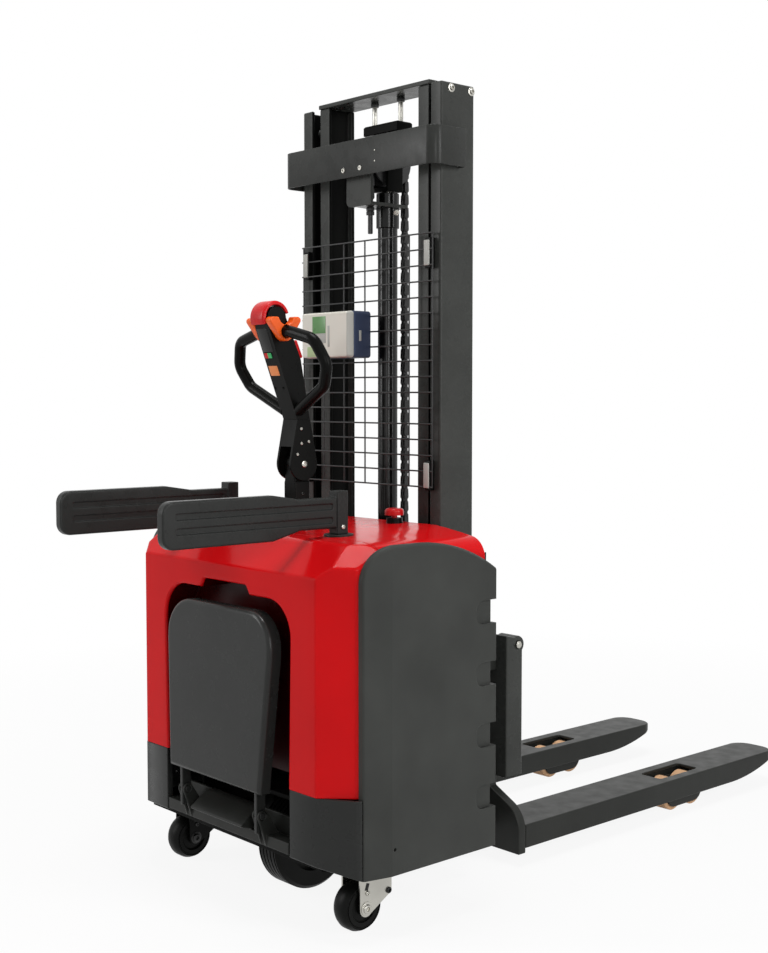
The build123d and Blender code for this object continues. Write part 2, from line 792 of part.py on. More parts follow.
# Front hood: top cover with the holes for the tiller post, the switch and the arm guards
with BuildPart() as front_hood:
    add(hood_outer)
    add(hood_inner, mode=Mode.SUBTRACT)
    block(hood_span, (seam_front_y, HOOD_FRONT_Y), hood_rise, mode=Mode.INTERSECT)
    for x, y, seat_z, seat_r, hole_r in (
        (-GUARD_X, GUARD_Y, GUARD_SEAT_Z, GUARD_FLANGE_R + SEAT_EDGE, GUARD_TUBE_R + SEAT_EDGE),
        (GUARD_X, GUARD_Y, GUARD_SEAT_Z, GUARD_FLANGE_R + SEAT_EDGE, GUARD_TUBE_R + SEAT_EDGE),
        (STOP_X, STOP_Y, STOP_SEAT_Z, STOP_BODY_R + SEAT_EDGE, STOP_SHANK_R + SEAT_EDGE),
    ):
        rod_z(x, y, seat_z - HOOD_WALL, seat_z, seat_r + HOOD_WALL)
        rod_z(x, y, seat_z, HOOD_CROWN_Z, seat_r, mode=Mode.SUBTRACT)
        rod_z(x, y, seat_z - HOOD_WALL, HOOD_CROWN_Z, hole_r, mode=Mode.SUBTRACT)
    rod_z(0, STEER_Y, HOOD_BASE_Z, HOOD_CROWN_Z, POST_HOLE_R, mode=Mode.SUBTRACT)
keep(front_hood, "front_hood")

# Side panels with the finger pockets along the front edge
with BuildPart() as side_panels:
    with BuildSketch(at_z(PANEL_BOTTOM_Z - HOOD_MARGIN)):
        with BuildLine():
            Polyline(
                (PANEL_INNER_X, PANEL_FRONT_Y + CUT_MARGIN),
                (PANEL_INNER_X, BEND_Y),
                (PANEL_INNER_X - BEND_IN, HOOD_SIDE_Y),
                (PANEL_OUTER_X - BEND_IN, HOOD_SIDE_Y),
                (PANEL_OUTER_X, BEND_Y),
                (PANEL_OUTER_X, PANEL_FRONT_Y + CUT_MARGIN),
                close=True,
            )
        make_face()
    extrude(amount=PANEL_CROWN_Z - PANEL_BOTTOM_Z + 2 * HOOD_MARGIN)
    with BuildSketch(at_x(PANEL_INNER_X - HOOD_MARGIN)):
        with BuildLine():
            FilletPolyline(
                (PANEL_CROWN_Y, PANEL_CROWN_Z),
                (PANEL_REAR_Y, PANEL_CROWN_Z),
                (PANEL_REAR_Y, PANEL_BOTTOM_Z),
                radius=PANEL_CORNER_R,
            )
            Polyline(
                (PANEL_REAR_Y, PANEL_BOTTOM_Z),
                (PANEL_FRONT_Y, PANEL_BOTTOM_Z),
                (PANEL_FRONT_Y, PANEL_FRONT_TOP_Z),
            )
            TangentArc((PANEL_CROWN_Y, PANEL_CROWN_Z), (PANEL_FRONT_Y, PANEL_FRONT_TOP_Z), tangent=(1, 0))
        make_face()
    extrude(amount=2 * HOOD_MARGIN, mode=Mode.INTERSECT)
    panel_rim = side_panels.faces().filter_by(lambda face: face.normal_at().X > 0.5).edges()
    fillet(panel_rim.filter_by(lambda edge: edge.center().Z > HOOD_BASE_Z).filter_by(
        lambda edge: edge.center().Y < PANEL_CROWN_Y), PANEL_EDGE_R)
    with BuildSketch(at_x(PANEL_OUTER_X)):
        for number in range(POCKET_COUNT):
            with Locations((PANEL_FRONT_Y - POCKET_REACH, POCKET_LOW_Z + number * POCKET_PITCH)):
                pocket_l = POCKET_REACH + 2 * POCKET_R
                RectangleRounded(pocket_l, POCKET_H, POCKET_R, align=(Align.MIN, Align.CENTER))
    extrude(amount=-POCKET_D, mode=Mode.SUBTRACT)
    for number in range(POCKET_COUNT):
        pocket_z = POCKET_LOW_Z + number * POCKET_PITCH
        block(
            (PANEL_INNER_X, PANEL_OUTER_X),
            (PANEL_FRONT_Y - POCKET_SETBACK, PANEL_FRONT_Y),
            (pocket_z - POCKET_H / 2, pocket_z + POCKET_H / 2),
            mode=Mode.SUBTRACT,
        )
    rod_x(PANEL_INNER_X, PANEL_OUTER_X, PANEL_HOLE_Y, PANEL_HOLE_Z, PANEL_HOLE_R, mode=Mode.SUBTRACT)
    mirror(about=Plane.YZ)
keep(side_panels, "side_panels")

# Rear skirts below the hood, left and right of the platform bracket
skirt_end_y = PANEL_REAR_Y - PANEL_GAP
with BuildPart() as rear_skirts:
    skirt_outer_x = PANEL_OUTER_X - BEND_IN
    with BuildSketch(at_z(PANEL_BOTTOM_Z)):
        with BuildSketch() as skirt:
            with BuildLine():
                Polyline(
                    (SKIRT_INNER_X - SKIRT_T, skirt_end_y + HOOD_MARGIN),
                    (SKIRT_INNER_X - SKIRT_T, BODY_REAR_Y),
                    (CREASE_X, BODY_REAR_Y),
                    (skirt_outer_x, SKIRT_CORNER_Y),
                    (skirt_outer_x, skirt_end_y + HOOD_MARGIN),
                    close=True,
                )
            make_face()
            fillet(skirt.vertices().sort_by(Axis.Y)[2], SKIRT_CORNER_R)
        offset(skirt.sketch, amount=-SKIRT_T, kind=Kind.INTERSECTION, mode=Mode.SUBTRACT)
        with Locations((SKIRT_INNER_X, skirt_end_y)):
            Rectangle(
                2 * HOOD_MARGIN + skirt_outer_x,
                2 * HOOD_MARGIN,
                align=(Align.MIN, Align.MAX),
                mode=Mode.INTERSECT,
            )
    extrude(amount=HOOD_BASE_Z - SEAT_GAP - PANEL_BOTTOM_Z)
    block(
        (SKIRT_INNER_X, SKIRT_INNER_X + SKIRT_T),
        (BODY_REAR_Y, FLOOR_REAR_Y - PANEL_GAP),
        (PANEL_BOTTOM_Z, HOOD_BASE_Z - SEAT_GAP),
    )
    skirt_rise = Vector(0, PANEL_REAR_Y - BODY_REAR_Y, PANEL_BOTTOM_Z - SKIRT_REAR_Z)
    skirt_foot = Plane(
        origin=(0, BODY_REAR_Y, SKIRT_REAR_Z),
        x_dir=(1, 0, 0),
        z_dir=Vector(1, 0, 0).cross(skirt_rise),
    )
    split(bisect_by=skirt_foot, keep=Keep.TOP)
    mirror(about=Plane.YZ)
keep(rear_skirts, "rear_skirts")

# Platform bracket: beam between the skirts, hinge lugs and the sloping step tread
lug_inner_x = PAD_ARM_X - PAD_ARM_W / 2 - LUG_GAP - LUG_T
lug_outer_x = PAD_ARM_X + PAD_ARM_W / 2 + LUG_GAP
with BuildPart() as platform_bracket:
    block(
        (-BRACKET_HALF_W, BRACKET_HALF_W),
        (BODY_REAR_Y, BRACKET_FRONT_Y),
        (BRACKET_BEAM_Z, BRACKET_BEAM_Z + BRACKET_BEAM_H),
    )
    for side in (-1, 1):
        for x in (lug_inner_x, lug_outer_x):
            with BuildSketch(at_x(side * (x + LUG_T / 2) - LUG_T / 2)):
                with Locations((HINGE_Y, HINGE_Z)):
                    Circle(LUG_R)
                with Locations((BRACKET_FRONT_Y, BRACKET_BEAM_Z)):
                    lug_foot_d = BRACKET_FRONT_Y - BODY_REAR_Y
                    Rectangle(lug_foot_d, BRACKET_BEAM_H, align=(Align.MAX, Align.MIN))
                make_hull()
                with Locations((HINGE_Y, HINGE_Z)):
                    Circle(HINGE_PIN_R + RUN_GAP, mode=Mode.SUBTRACT)
            extrude(amount=LUG_T)
    with BuildSketch(at_x(-TREAD_HALF_W)):
        with BuildLine():
            Polyline(
                (BRACKET_FRONT_Y, BRACKET_BEAM_Z + BRACKET_BEAM_H),
                (BRACKET_FRONT_Y, HINGE_Z),
                (TREAD_BEND_Y, HINGE_Z),
                (TREAD_REAR_Y, TREAD_LIP_Z),
                (TREAD_REAR_Y, TREAD_LIP_Z - TREAD_T),
                (BODY_REAR_Y, BRACKET_BEAM_Z + BRACKET_BEAM_H),
                close=True,
            )
        make_face()
    extrude(amount=2 * TREAD_HALF_W)
    block(
        (-BRACKET_HALF_W, BRACKET_HALF_W),
        (BRACKET_FRONT_Y, BRACKET_FRONT_Y + BRACKET_PLATE_T),
        (FLOOR_TOP_Z, HINGE_Z),
    )
keep(platform_bracket, "platform_bracket")

# Outer mast rails, with the stub axles of the upper guide rollers
with BuildPart() as outer_rails:
    with BuildSketch(at_z(OUTER_BOTTOM_Z)):
        with Locations((OUTER_HALF_WIDTH, MAST_MID_Y)):
            Rectangle(OUTER_FLANGE, OUTER_DEPTH, align=(Align.MAX, Align.CENTER))
        with Locations((OUTER_HALF_WIDTH - OUTER_WEB, MAST_MID_Y)):
            Rectangle(
                OUTER_FLANGE,
                OUTER_DEPTH - 2 * RAIL_FLANGE_T,
                align=(Align.MAX, Align.CENTER),
                mode=Mode.SUBTRACT,
            )
    extrude(amount=OUTER_TOP_Z - OUTER_BOTTOM_Z)
    rod_x(
        INNER_WEB_MID_X + INNER_WEB / 2 + GUIDE_SIDE_GAP,
        OUTER_HALF_WIDTH - OUTER_WEB,
        MAST_MID_Y,
        OUTER_GUIDE_Z,
        ROLLER_AXLE_R,
    )
    mirror(about=Plane.YZ)
keep(outer_rails, "outer_rails")

# Upper guide rollers on the outer rails
with BuildPart() as outer_guide_rollers:
    guide_x = INNER_WEB_MID_X + INNER_WEB / 2 + GUIDE_SIDE_GAP
    rod_x(guide_x, guide_x + OUTER_GUIDE_W, MAST_MID_Y, OUTER_GUIDE_Z, INNER_SLOT_R - GUIDE_GAP)
    rod_x(
        guide_x,
        guide_x + OUTER_GUIDE_W,
        MAST_MID_Y,
        OUTER_GUIDE_Z,
        ROLLER_AXLE_R + RUN_GAP,
        mode=Mode.SUBTRACT,
    )
    mirror(about=Plane.YZ)
keep(outer_guide_rollers, "outer_guide_rollers")

# Mast cover: bent band round the rear of the mast, on spacers against the outer rails
with BuildPart() as mast_cover:
    with BuildSketch(at_z(COVER_BOTTOM_Z)):
        with BuildLine():
            FilletPolyline(
                (-COVER_HALF_W, COVER_FRONT_Y),
                (-COVER_HALF_W, COVER_REAR_Y),
                (COVER_HALF_W, COVER_REAR_Y),
                (COVER_HALF_W, COVER_FRONT_Y),
                radius=COVER_CORNER_R,
            )
            Line((COVER_HALF_W, COVER_FRONT_Y), (-COVER_HALF_W, COVER_FRONT_Y))
        make_face()
        with BuildLine(mode=Mode.PRIVATE) as cover_inside:
            FilletPolyline(
                (-COVER_HALF_W + COVER_T, COVER_FRONT_Y),
                (-COVER_HALF_W + COVER_T, COVER_REAR_Y + COVER_T),
                (COVER_HALF_W - COVER_T, COVER_REAR_Y + COVER_T),
                (COVER_HALF_W - COVER_T, COVER_FRONT_Y),
                radius=COVER_CORNER_R - COVER_T,
            )
            Line((COVER_HALF_W - COVER_T, COVER_FRONT_Y), (-COVER_HALF_W + COVER_T, COVER_FRONT_Y))
        make_face(cover_inside.edges(), mode=Mode.SUBTRACT)
    extrude(amount=COVER_TOP_Z - COVER_BOTTOM_Z)
    cover_mid_z = (COVER_BOTTOM_Z + COVER_TOP_Z) / 2
    for side in (-1, 1):
        spacer = sorted((side * OUTER_HALF_WIDTH, side * (COVER_HALF_W - COVER_T)))
        block(
            spacer,
            (MAST_REAR_Y + RAIL_FLANGE_T, MAST_REAR_Y + RAIL_FLANGE_T + COVER_SPACER_W),
            (cover_mid_z - COVER_SPACER_H / 2, cover_mid_z + COVER_SPACER_H / 2),
        )
keep(mast_cover, "mast_cover")

# Guard mesh: welded wire panel behind the mast, on four tabs against the rails
mesh_rear_y = MAST_REAR_Y - MESH_STANDOFF - MESH_T
with BuildPart() as guard_mesh:
    with BuildSketch(at_y(MAST_REAR_Y - MESH_STANDOFF)):
        mesh_h = MESH_TOP_Z - MESH_BOTTOM_Z
        column = (2 * MESH_HALF_W - MESH_BORDER) / MESH_COLUMNS
        row = (mesh_h - MESH_BORDER) / MESH_ROWS
        with Locations((0, (MESH_TOP_Z + MESH_BOTTOM_Z) / 2)):
            Rectangle(2 * MESH_HALF_W, mesh_h)
            with GridLocations(column, row, MESH_COLUMNS, MESH_ROWS):
                Rectangle(column - MESH_WIRE, row - MESH_WIRE, mode=Mode.SUBTRACT)
    extrude(amount=MESH_T)
    for x in (-MESH_TAB_X, MESH_TAB_X):
        for z in (MESH_TAB_LOW_Z, MESH_TAB_HIGH_Z):
            block(
                (x - MESH_TAB_W / 2, x + MESH_TAB_W / 2),
                (MAST_REAR_Y - MESH_STANDOFF - MESH_T, MAST_REAR_Y),
                (z - MESH_TAB_H / 2, z + MESH_TAB_H / 2),
            )
keep(guard_mesh, "guard_mesh")

# Charger: base on the mesh and the moulded cover on the base
charger_size = (CHARGER_RIGHT_X - CHARGER_LEFT_X, CHARGER_TOP_Z - CHARGER_BOTTOM_Z)
charger_mid = ((CHARGER_RIGHT_X + CHARGER_LEFT_X) / 2, (CHARGER_TOP_Z + CHARGER_BOTTOM_Z) / 2)
with BuildPart() as charger_base:
    with BuildSketch(at_y(mesh_rear_y)):
        with Locations(charger_mid):
            RectangleRounded(charger_size[0], charger_size[1], CHARGER_CORNER_R)
    extrude(amount=CHARGER_BASE_D)
keep(charger_base, "charger_base")

with BuildPart() as charger_cover:
    with BuildSketch(at_y(mesh_rear_y - CHARGER_BASE_D)):
        with Locations(charger_mid):
            RectangleRounded(charger_size[0], charger_size[1], CHARGER_CORNER_R)
    extrude(amount=CHARGER_COVER_D, taper=CHARGER_DRAFT)
    fillet(charger_cover.faces().sort_by(Axis.Y)[0].edges(), CHARGER_EDGE_R)
keep(charger_cover, "charger_cover")

# Lift cylinder: barrel standing on the foot beam, with the gland at its top
with BuildPart() as lift_cylinder:
    rod_z(0, CYLINDER_Y, FOOT_BEAM_TOP_Z, BARREL_TOP_Z, BARREL_R)
    rod_z(0, CYLINDER_Y, FOOT_BEAM_TOP_Z + PISTON_LIFT_OFF, BARREL_TOP_Z, BARREL_BORE_R, mode=Mode.SUBTRACT)
    rod_z(0, CYLINDER_Y, BARREL_TOP_Z, GLAND_TOP_Z, GLAND_R)
    rod_z(0, CYLINDER_Y, BARREL_TOP_Z, GLAND_TOP_Z, PISTON_ROD_R + RUN_GAP, mode=Mode.SUBTRACT)
keep(lift_cylinder, "lift_cylinder")

with BuildPart() as piston_rod:
    rod_z(0, CYLINDER_Y, FOOT_BEAM_TOP_Z + PISTON_LIFT_OFF, CROSSHEAD_Z, PISTON_ROD_R)
    piston_z = FOOT_BEAM_TOP_Z + PISTON_LIFT_OFF
    rod_z(0, CYLINDER_Y, piston_z, piston_z + PISTON_H, BARREL_BORE_R - RUN_GAP)
keep(piston_rod, "piston_rod")

# Cylinder bracket: plate under the mast cover with a shelf that holds the gland and the chain anchor
clamp_front_y = CYLINDER_Y + GLAND_R + CLAMP_RIM
with BuildPart() as cylinder_bracket:
    with BuildSketch(at_y(COVER_REAR_Y + COVER_T + CLAMP_T)) as clamp_plate:
        with Locations(((CLAMP_LEFT_X + CLAMP_RIGHT_X) / 2, CLAMP_Z)):
            Rectangle(
                CLAMP_RIGHT_X - CLAMP_LEFT_X,
                (COVER_BOTTOM_Z + COVER_TOP_Z) / 2 - CLAMP_Z,
                align=(Align.CENTER, Align.MIN),
            )
        fillet(clamp_plate.vertices().group_by(Axis.Y)[0].sort_by(Axis.X)[0], CLAMP_CORNER_R)
    extrude(amount=CLAMP_T)
    with BuildSketch(at_z(CLAMP_Z)) as shelf:
        with BuildLine():
            Polyline(
                (CLAMP_SHELF_LEFT_X, COVER_REAR_Y + COVER_T),
                (CLAMP_RIGHT_X, COVER_REAR_Y + COVER_T),
                (CLAMP_RIGHT_X, clamp_front_y),
                (-CLAMP_RIGHT_X, clamp_front_y),
                (-CLAMP_RIGHT_X, CYLINDER_Y - GLAND_R),
                close=True,
            )
        make_face()
        with Locations((0, CYLINDER_Y)):
            Circle(GLAND_R + SEAT_GAP, mode=Mode.SUBTRACT)
        with Locations((0, CHAIN_REAR_Y)):
            Circle(ANCHOR_R + SEAT_GAP, mode=Mode.SUBTRACT)
    extrude(amount=CLAMP_T)
keep(cylinder_bracket, "cylinder_bracket")

# Mast fasteners: cover screws, bolts at the top of the outer rails and the chain anchor bolt with its nut
anchor_top_z = CLAMP_Z + CLAMP_T + ANCHOR_RISE
with BuildPart() as mast_fasteners:
    for x in (COVER_SCREW_LEFT_X, COVER_SCREW_RIGHT_X):
        with BuildSketch(at_y(COVER_REAR_Y)):
            with Locations((x, COVER_BOTTOM_Z + COVER_SCREW_RISE)):
                Circle(COVER_SCREW_R)
        extrude(amount=COVER_SCREW_H)
    for side in (-1, 1):
        for y in (MAST_MID_Y - BEAM_BOLT_REAR, MAST_MID_Y + BEAM_BOLT_FRONT):
            bolt = sorted((side * OUTER_HALF_WIDTH, side * (OUTER_HALF_WIDTH + BEAM_BOLT_H)))
            rod_x(bolt[0], bolt[1], y, OUTER_TOP_Z - BEAM_BOLT_DROP, BEAM_BOLT_R)
    rod_z(0, CHAIN_REAR_Y, CLAMP_Z - ANCHOR_DROP, anchor_top_z, ANCHOR_R)
    rod_z(0, CHAIN_REAR_Y, CLAMP_Z - ANCHOR_NUT_H, CLAMP_Z, ANCHOR_NUT_R)
keep(mast_fasteners, "mast_fasteners")

# Inner mast: two I-section rails, the lower tie and the stub axles of the lower guide rollers
with BuildPart() as inner_rails:
    with BuildSketch(at_z(INNER_BOTTOM_Z)):
        with Locations((INNER_WEB_MID_X, MAST_MID_Y)):
            Rectangle(INNER_FLANGE, INNER_DEPTH)
            for side in (-1, 1):
                with Locations((side * INNER_WEB / 2, 0)):
                    Rectangle(
                        INNER_FLANGE,
                        INNER_DEPTH - 2 * RAIL_FLANGE_T,
                        align=(Align.MIN if side > 0 else Align.MAX, Align.CENTER),
                        mode=Mode.SUBTRACT,
                    )
    extrude(amount=INNER_TOP_Z - INNER_BOTTOM_Z)
    block(
        (0, INNER_HALF_WIDTH - INNER_FLANGE),
        (INNER_REAR_Y, INNER_REAR_Y + INNER_TIE_T),
        (INNER_BOTTOM_Z, INNER_BOTTOM_Z + INNER_TIE_H),
    )
    inner_guide_x = INNER_HALF_WIDTH + 2 * GUIDE_SIDE_GAP
    rod_x(INNER_WEB_MID_X, inner_guide_x + INNER_GUIDE_W, MAST_MID_Y, INNER_GUIDE_Z, GUIDE_AXLE_R)
    mirror(about=Plane.YZ)
keep(inner_rails, "inner_rails")

with BuildPart() as inner_guide_rollers:
    rod_x(inner_guide_x, inner_guide_x + INNER_GUIDE_W, MAST_MID_Y, INNER_GUIDE_Z, OUTER_SLOT_R - GUIDE_GAP)
    rod_x(
        inner_guide_x,
        inner_guide_x + INNER_GUIDE_W,
        MAST_MID_Y,
        INNER_GUIDE_Z,
        GUIDE_AXLE_R + RUN_GAP,
        mode=Mode.SUBTRACT,
    )
    mirror(about=Plane.YZ)
keep(inner_guide_rollers, "inner_guide_rollers")

# Top plate that ties the inner rails
with BuildPart() as mast_top_plate:
    with BuildSketch(at_z(INNER_TOP_Z)):
        with Locations((0, MAST_MID_Y)):
            RectangleRounded(
                2 * (INNER_HALF_WIDTH + TOP_PLATE_OVERHANG),
                INNER_DEPTH + 2 * TOP_PLATE_OVERHANG,
                TOP_PLATE_OVERHANG,
            )
    extrude(amount=TOP_PLATE_T)
keep(mast_top_plate, "mast_top_plate")

# Crosshead on the piston rod: foot, two side plates round the chain pulley, hanger block and pulley axle
hanger_block_top_z = HANGER_BLOCK_Z + HANGER_BLOCK_H
crosshead_ys = (CYLINDER_Y - CROSSHEAD_D / 2, CYLINDER_Y + CROSSHEAD_D / 2)
with BuildPart() as crosshead:
    block((-CROSSHEAD_HALF_W, CROSSHEAD_HALF_W), crosshead_ys, (HANGER_BLOCK_Z, hanger_block_top_z))
    fillet(crosshead.edges().group_by(Axis.Z)[-1], HANGER_BLOCK_R)
    block((-YOKE_PLATE_X, YOKE_PLATE_X), crosshead_ys, (CROSSHEAD_Z, CROSSHEAD_TOP_Z))
    for x in (-YOKE_PLATE_X - YOKE_PLATE_T, YOKE_PLATE_X):
        block((x, x + YOKE_PLATE_T), crosshead_ys, (CROSSHEAD_Z, HANGER_BLOCK_Z))
    rod_x(-YOKE_PLATE_X, YOKE_PLATE_X, CYLINDER_Y, PULLEY_Z, PULLEY_AXLE_R)
keep(crosshead, "crosshead")

with BuildPart() as hanger_rods:
    for x in (-HANGER_X, HANGER_X):
        rod_z(x, CYLINDER_Y, hanger_block_top_z, INNER_TOP_Z, HANGER_R)
        rod_z(x, CYLINDER_Y, hanger_block_top_z, hanger_block_top_z + HANGER_NUT_H, HANGER_NUT_R)
        rod_z(x, CYLINDER_Y, INNER_TOP_Z - HANGER_NUT_H, INNER_TOP_Z, HANGER_NUT_R)
keep(hanger_rods, "hanger_rods")

# Chain pulley: grooved wheel on the crosshead axle
with BuildPart() as chain_pulley:
    groove_r = PULLEY_PITCH_R - CHAIN_PIN_R - SEAT_GAP
    groove_half_w = CHAIN_HALF_W + CHAIN_SIDE_GAP
    with BuildSketch(at_y(CYLINDER_Y)):
        with BuildLine():
            Polyline(
                (-PULLEY_HALF_W, PULLEY_Z + PULLEY_AXLE_R + RUN_GAP),
                (PULLEY_HALF_W, PULLEY_Z + PULLEY_AXLE_R + RUN_GAP),
                (PULLEY_HALF_W, PULLEY_Z + PULLEY_FLANGE_R),
                (groove_half_w + PULLEY_FLARE, PULLEY_Z + PULLEY_FLANGE_R),
                (groove_half_w, PULLEY_Z + groove_r),
                (-groove_half_w, PULLEY_Z + groove_r),
                (-groove_half_w - PULLEY_FLARE, PULLEY_Z + PULLEY_FLANGE_R),
                (-PULLEY_HALF_W, PULLEY_Z + PULLEY_FLANGE_R),
                close=True,
            )
        make_face()
    revolve(axis=Axis((0, CYLINDER_Y, PULLEY_Z), (1, 0, 0)))
keep(chain_pulley, "chain_pulley")


def chain_strand(y, low_z, high_z):
    """Side view of a straight run of chain: a waist strip with a link head at every pitch."""
    links = int((high_z - low_z) / CHAIN_PITCH)
    with BuildSketch(at_x(-CHAIN_HALF_W)) as strand:
        with Locations((y, low_z)):
            Rectangle(CHAIN_WAIST, high_z - low_z, align=(Align.CENTER, Align.MIN))
        with Locations(*[(y, high_z - (number + 0.5) * CHAIN_PITCH) for number in range(links)]):
            RegularPolygon(CHAIN_PIN_R, 6)
    return strand.sketch


# Chain: the long run to the carriage with the wrap over the pulley, and the short run to the anchor
chain_foot_z = CARRIAGE_BAR_Z + CARRIAGE_BAR_H
with BuildPart() as chain_front:
    extrude(chain_strand(CHAIN_FRONT_Y, chain_foot_z, PULLEY_Z), amount=2 * CHAIN_HALF_W)
    with BuildSketch(at_x(-CHAIN_HALF_W)):
        with Locations((CYLINDER_Y, PULLEY_Z)):
            Circle(PULLEY_PITCH_R + CHAIN_WAIST / 2)
            Circle(PULLEY_PITCH_R - CHAIN_WAIST / 2, mode=Mode.SUBTRACT)
            Rectangle(
                4 * PULLEY_PITCH_R, 2 * PULLEY_PITCH_R, align=(Align.CENTER, Align.MIN), mode=Mode.INTERSECT
            )
    extrude(amount=2 * CHAIN_HALF_W)
keep(chain_front, "chain_front")

with BuildPart() as chain_rear:
    extrude(chain_strand(CHAIN_REAR_Y, anchor_top_z, PULLEY_Z), amount=2 * CHAIN_HALF_W)
keep(chain_rear, "chain_rear")

# Carriage: heel plate with the rounded shoulders, upper tie, side plates, chain bar and roller stubs
heel_rear_y = FORK_REAR_Y - HEEL_T
fork_outer_x = FORK_MID_X + FORK_W / 2
arc_end = radians(HEEL_ARC_SWEEP)
arc_mid = arc_end / 2
arc_x = fork_outer_x - HEEL_ARC_R
shoulder_x = arc_x + HEEL_ARC_R * cos(arc_end)
shoulder_z = HEEL_ARC_Z + HEEL_ARC_R * sin(arc_end)
shoulder_rise = (shoulder_x - CARRIAGE_TIE_HALF_W) / tan(arc_end)
with BuildPart() as carriage_frame:
    with BuildSketch(at_y(FORK_REAR_Y)) as heel:
        with BuildLine():
            Polyline(
                (shoulder_x, shoulder_z),
                (CARRIAGE_TIE_HALF_W, shoulder_z + shoulder_rise),
                (CARRIAGE_TIE_HALF_W, CARRIAGE_LOWER_TOP_Z),
                (0, CARRIAGE_LOWER_TOP_Z),
                (0, HEEL_CENTRE_Z),
                (HEEL_INNER_X, HEEL_CENTRE_Z),
                (HEEL_INNER_X, HEEL_BOTTOM_Z),
                (fork_outer_x, HEEL_BOTTOM_Z),
                (fork_outer_x, HEEL_ARC_Z),
            )
            ThreePointArc(
                (fork_outer_x, HEEL_ARC_Z),
                (arc_x + HEEL_ARC_R * cos(arc_mid), HEEL_ARC_Z + HEEL_ARC_R * sin(arc_mid)),
                (shoulder_x, shoulder_z),
            )
        make_face()
        mirror(about=Plane.YZ)
    extrude(amount=HEEL_T)
    block(
        (-CARRIAGE_TIE_HALF_W, CARRIAGE_TIE_HALF_W),
        (heel_rear_y, FORK_REAR_Y),
        (CARRIAGE_UPPER_Z, CARRIAGE_UPPER_Z + CARRIAGE_UPPER_H),
    )
    for side in (-1, 1):
        plate_x = side * (CARRIAGE_SIDE_X + CARRIAGE_SIDE_T / 2) - CARRIAGE_SIDE_T / 2
        with BuildSketch(at_x(plate_x)) as side_plate:
            with BuildLine():
                Polyline(
                    (CARRIAGE_REAR_Y, CARRIAGE_SIDE_BOTTOM_Z),
                    (heel_rear_y, CARRIAGE_SIDE_BOTTOM_Z),
                    (heel_rear_y, CARRIAGE_UPPER_Z + CARRIAGE_UPPER_H),
                    (CARRIAGE_REAR_Y, CARRIAGE_UPPER_Z + CARRIAGE_UPPER_H),
                    close=True,
                )
            make_face()
            fillet(side_plate.vertices().sort_by(Axis.X)[:2], CARRIAGE_NOSE_R)
        extrude(amount=CARRIAGE_SIDE_T)
        stub_inner = CARRIAGE_SIDE_X + CARRIAGE_SIDE_T
        stub_outer = INNER_WEB_MID_X - INNER_WEB / 2 - GUIDE_SIDE_GAP / 2
        stub = sorted((side * stub_inner, side * stub_outer))
        for z in (CARRIAGE_ROLLER_LOW_Z, CARRIAGE_ROLLER_HIGH_Z):
            rod_x(stub[0], stub[1], MAST_MID_Y, z, ROLLER_AXLE_R)
    block(
        (-CARRIAGE_SIDE_X, CARRIAGE_SIDE_X),
        (CHAIN_FRONT_Y - CARRIAGE_BAR_D / 2, CHAIN_FRONT_Y + CARRIAGE_BAR_D / 2),
        (CARRIAGE_BAR_Z, CARRIAGE_BAR_Z + CARRIAGE_BAR_H),
    )
keep(carriage_frame, "carriage_frame")

for level, roller_z in (("upper", CARRIAGE_ROLLER_HIGH_Z), ("lower", CARRIAGE_ROLLER_LOW_Z)):
    with BuildPart() as carriage_rollers:
        roller_end_x = INNER_WEB_MID_X - INNER_WEB / 2 - GUIDE_SIDE_GAP / 2
        roller_span = (roller_end_x - CARRIAGE_ROLLER_W, roller_end_x)
        rod_x(*roller_span, MAST_MID_Y, roller_z, INNER_SLOT_R - GUIDE_GAP)
        rod_x(*roller_span, MAST_MID_Y, roller_z, ROLLER_AXLE_R + RUN_GAP, mode=Mode.SUBTRACT)
        mirror(about=Plane.YZ)
    keep(carriage_rollers, f"carriage_rollers_{level}")

# Uprights on the front of the carriage, with the eyes that hold the tie shaft
upright_front_y = FORK_REAR_Y + UPRIGHT_D
eye_y = upright_front_y - UPRIGHT_EYE_R + UPRIGHT_EYE_PROUD
eye_z = UPRIGHT_TOP_Z - UPRIGHT_EYE_DROP
with BuildPart() as carriage_uprights:
    with BuildSketch(at_x(UPRIGHT_X)):
        with BuildLine():
            Polyline(
                (FORK_REAR_Y, UPRIGHT_BOTTOM_Z),
                (upright_front_y, UPRIGHT_BOTTOM_Z),
                (upright_front_y, UPRIGHT_TOP_Z),
                (FORK_REAR_Y, UPRIGHT_TOP_Z + UPRIGHT_TOP_RISE),
                close=True,
            )
        make_face()
        with Locations((eye_y, eye_z)):
            Circle(UPRIGHT_EYE_R)
            Circle(TIE_SHAFT_R + SEAT_GAP, mode=Mode.SUBTRACT)
    extrude(amount=UPRIGHT_W)
    mirror(about=Plane.YZ)
keep(carriage_uprights, "carriage_uprights")

with BuildPart() as tie_shaft:
    shaft_x = UPRIGHT_X + UPRIGHT_W + TIE_SHAFT_PROUD
    rod_x(-shaft_x, shaft_x, eye_y, eye_z, TIE_SHAFT_R)
    chamfer(tie_shaft.edges().filter_by(GeomType.CIRCLE), TIE_SHAFT_BEVEL)
keep(tie_shaft, "tie_shaft")

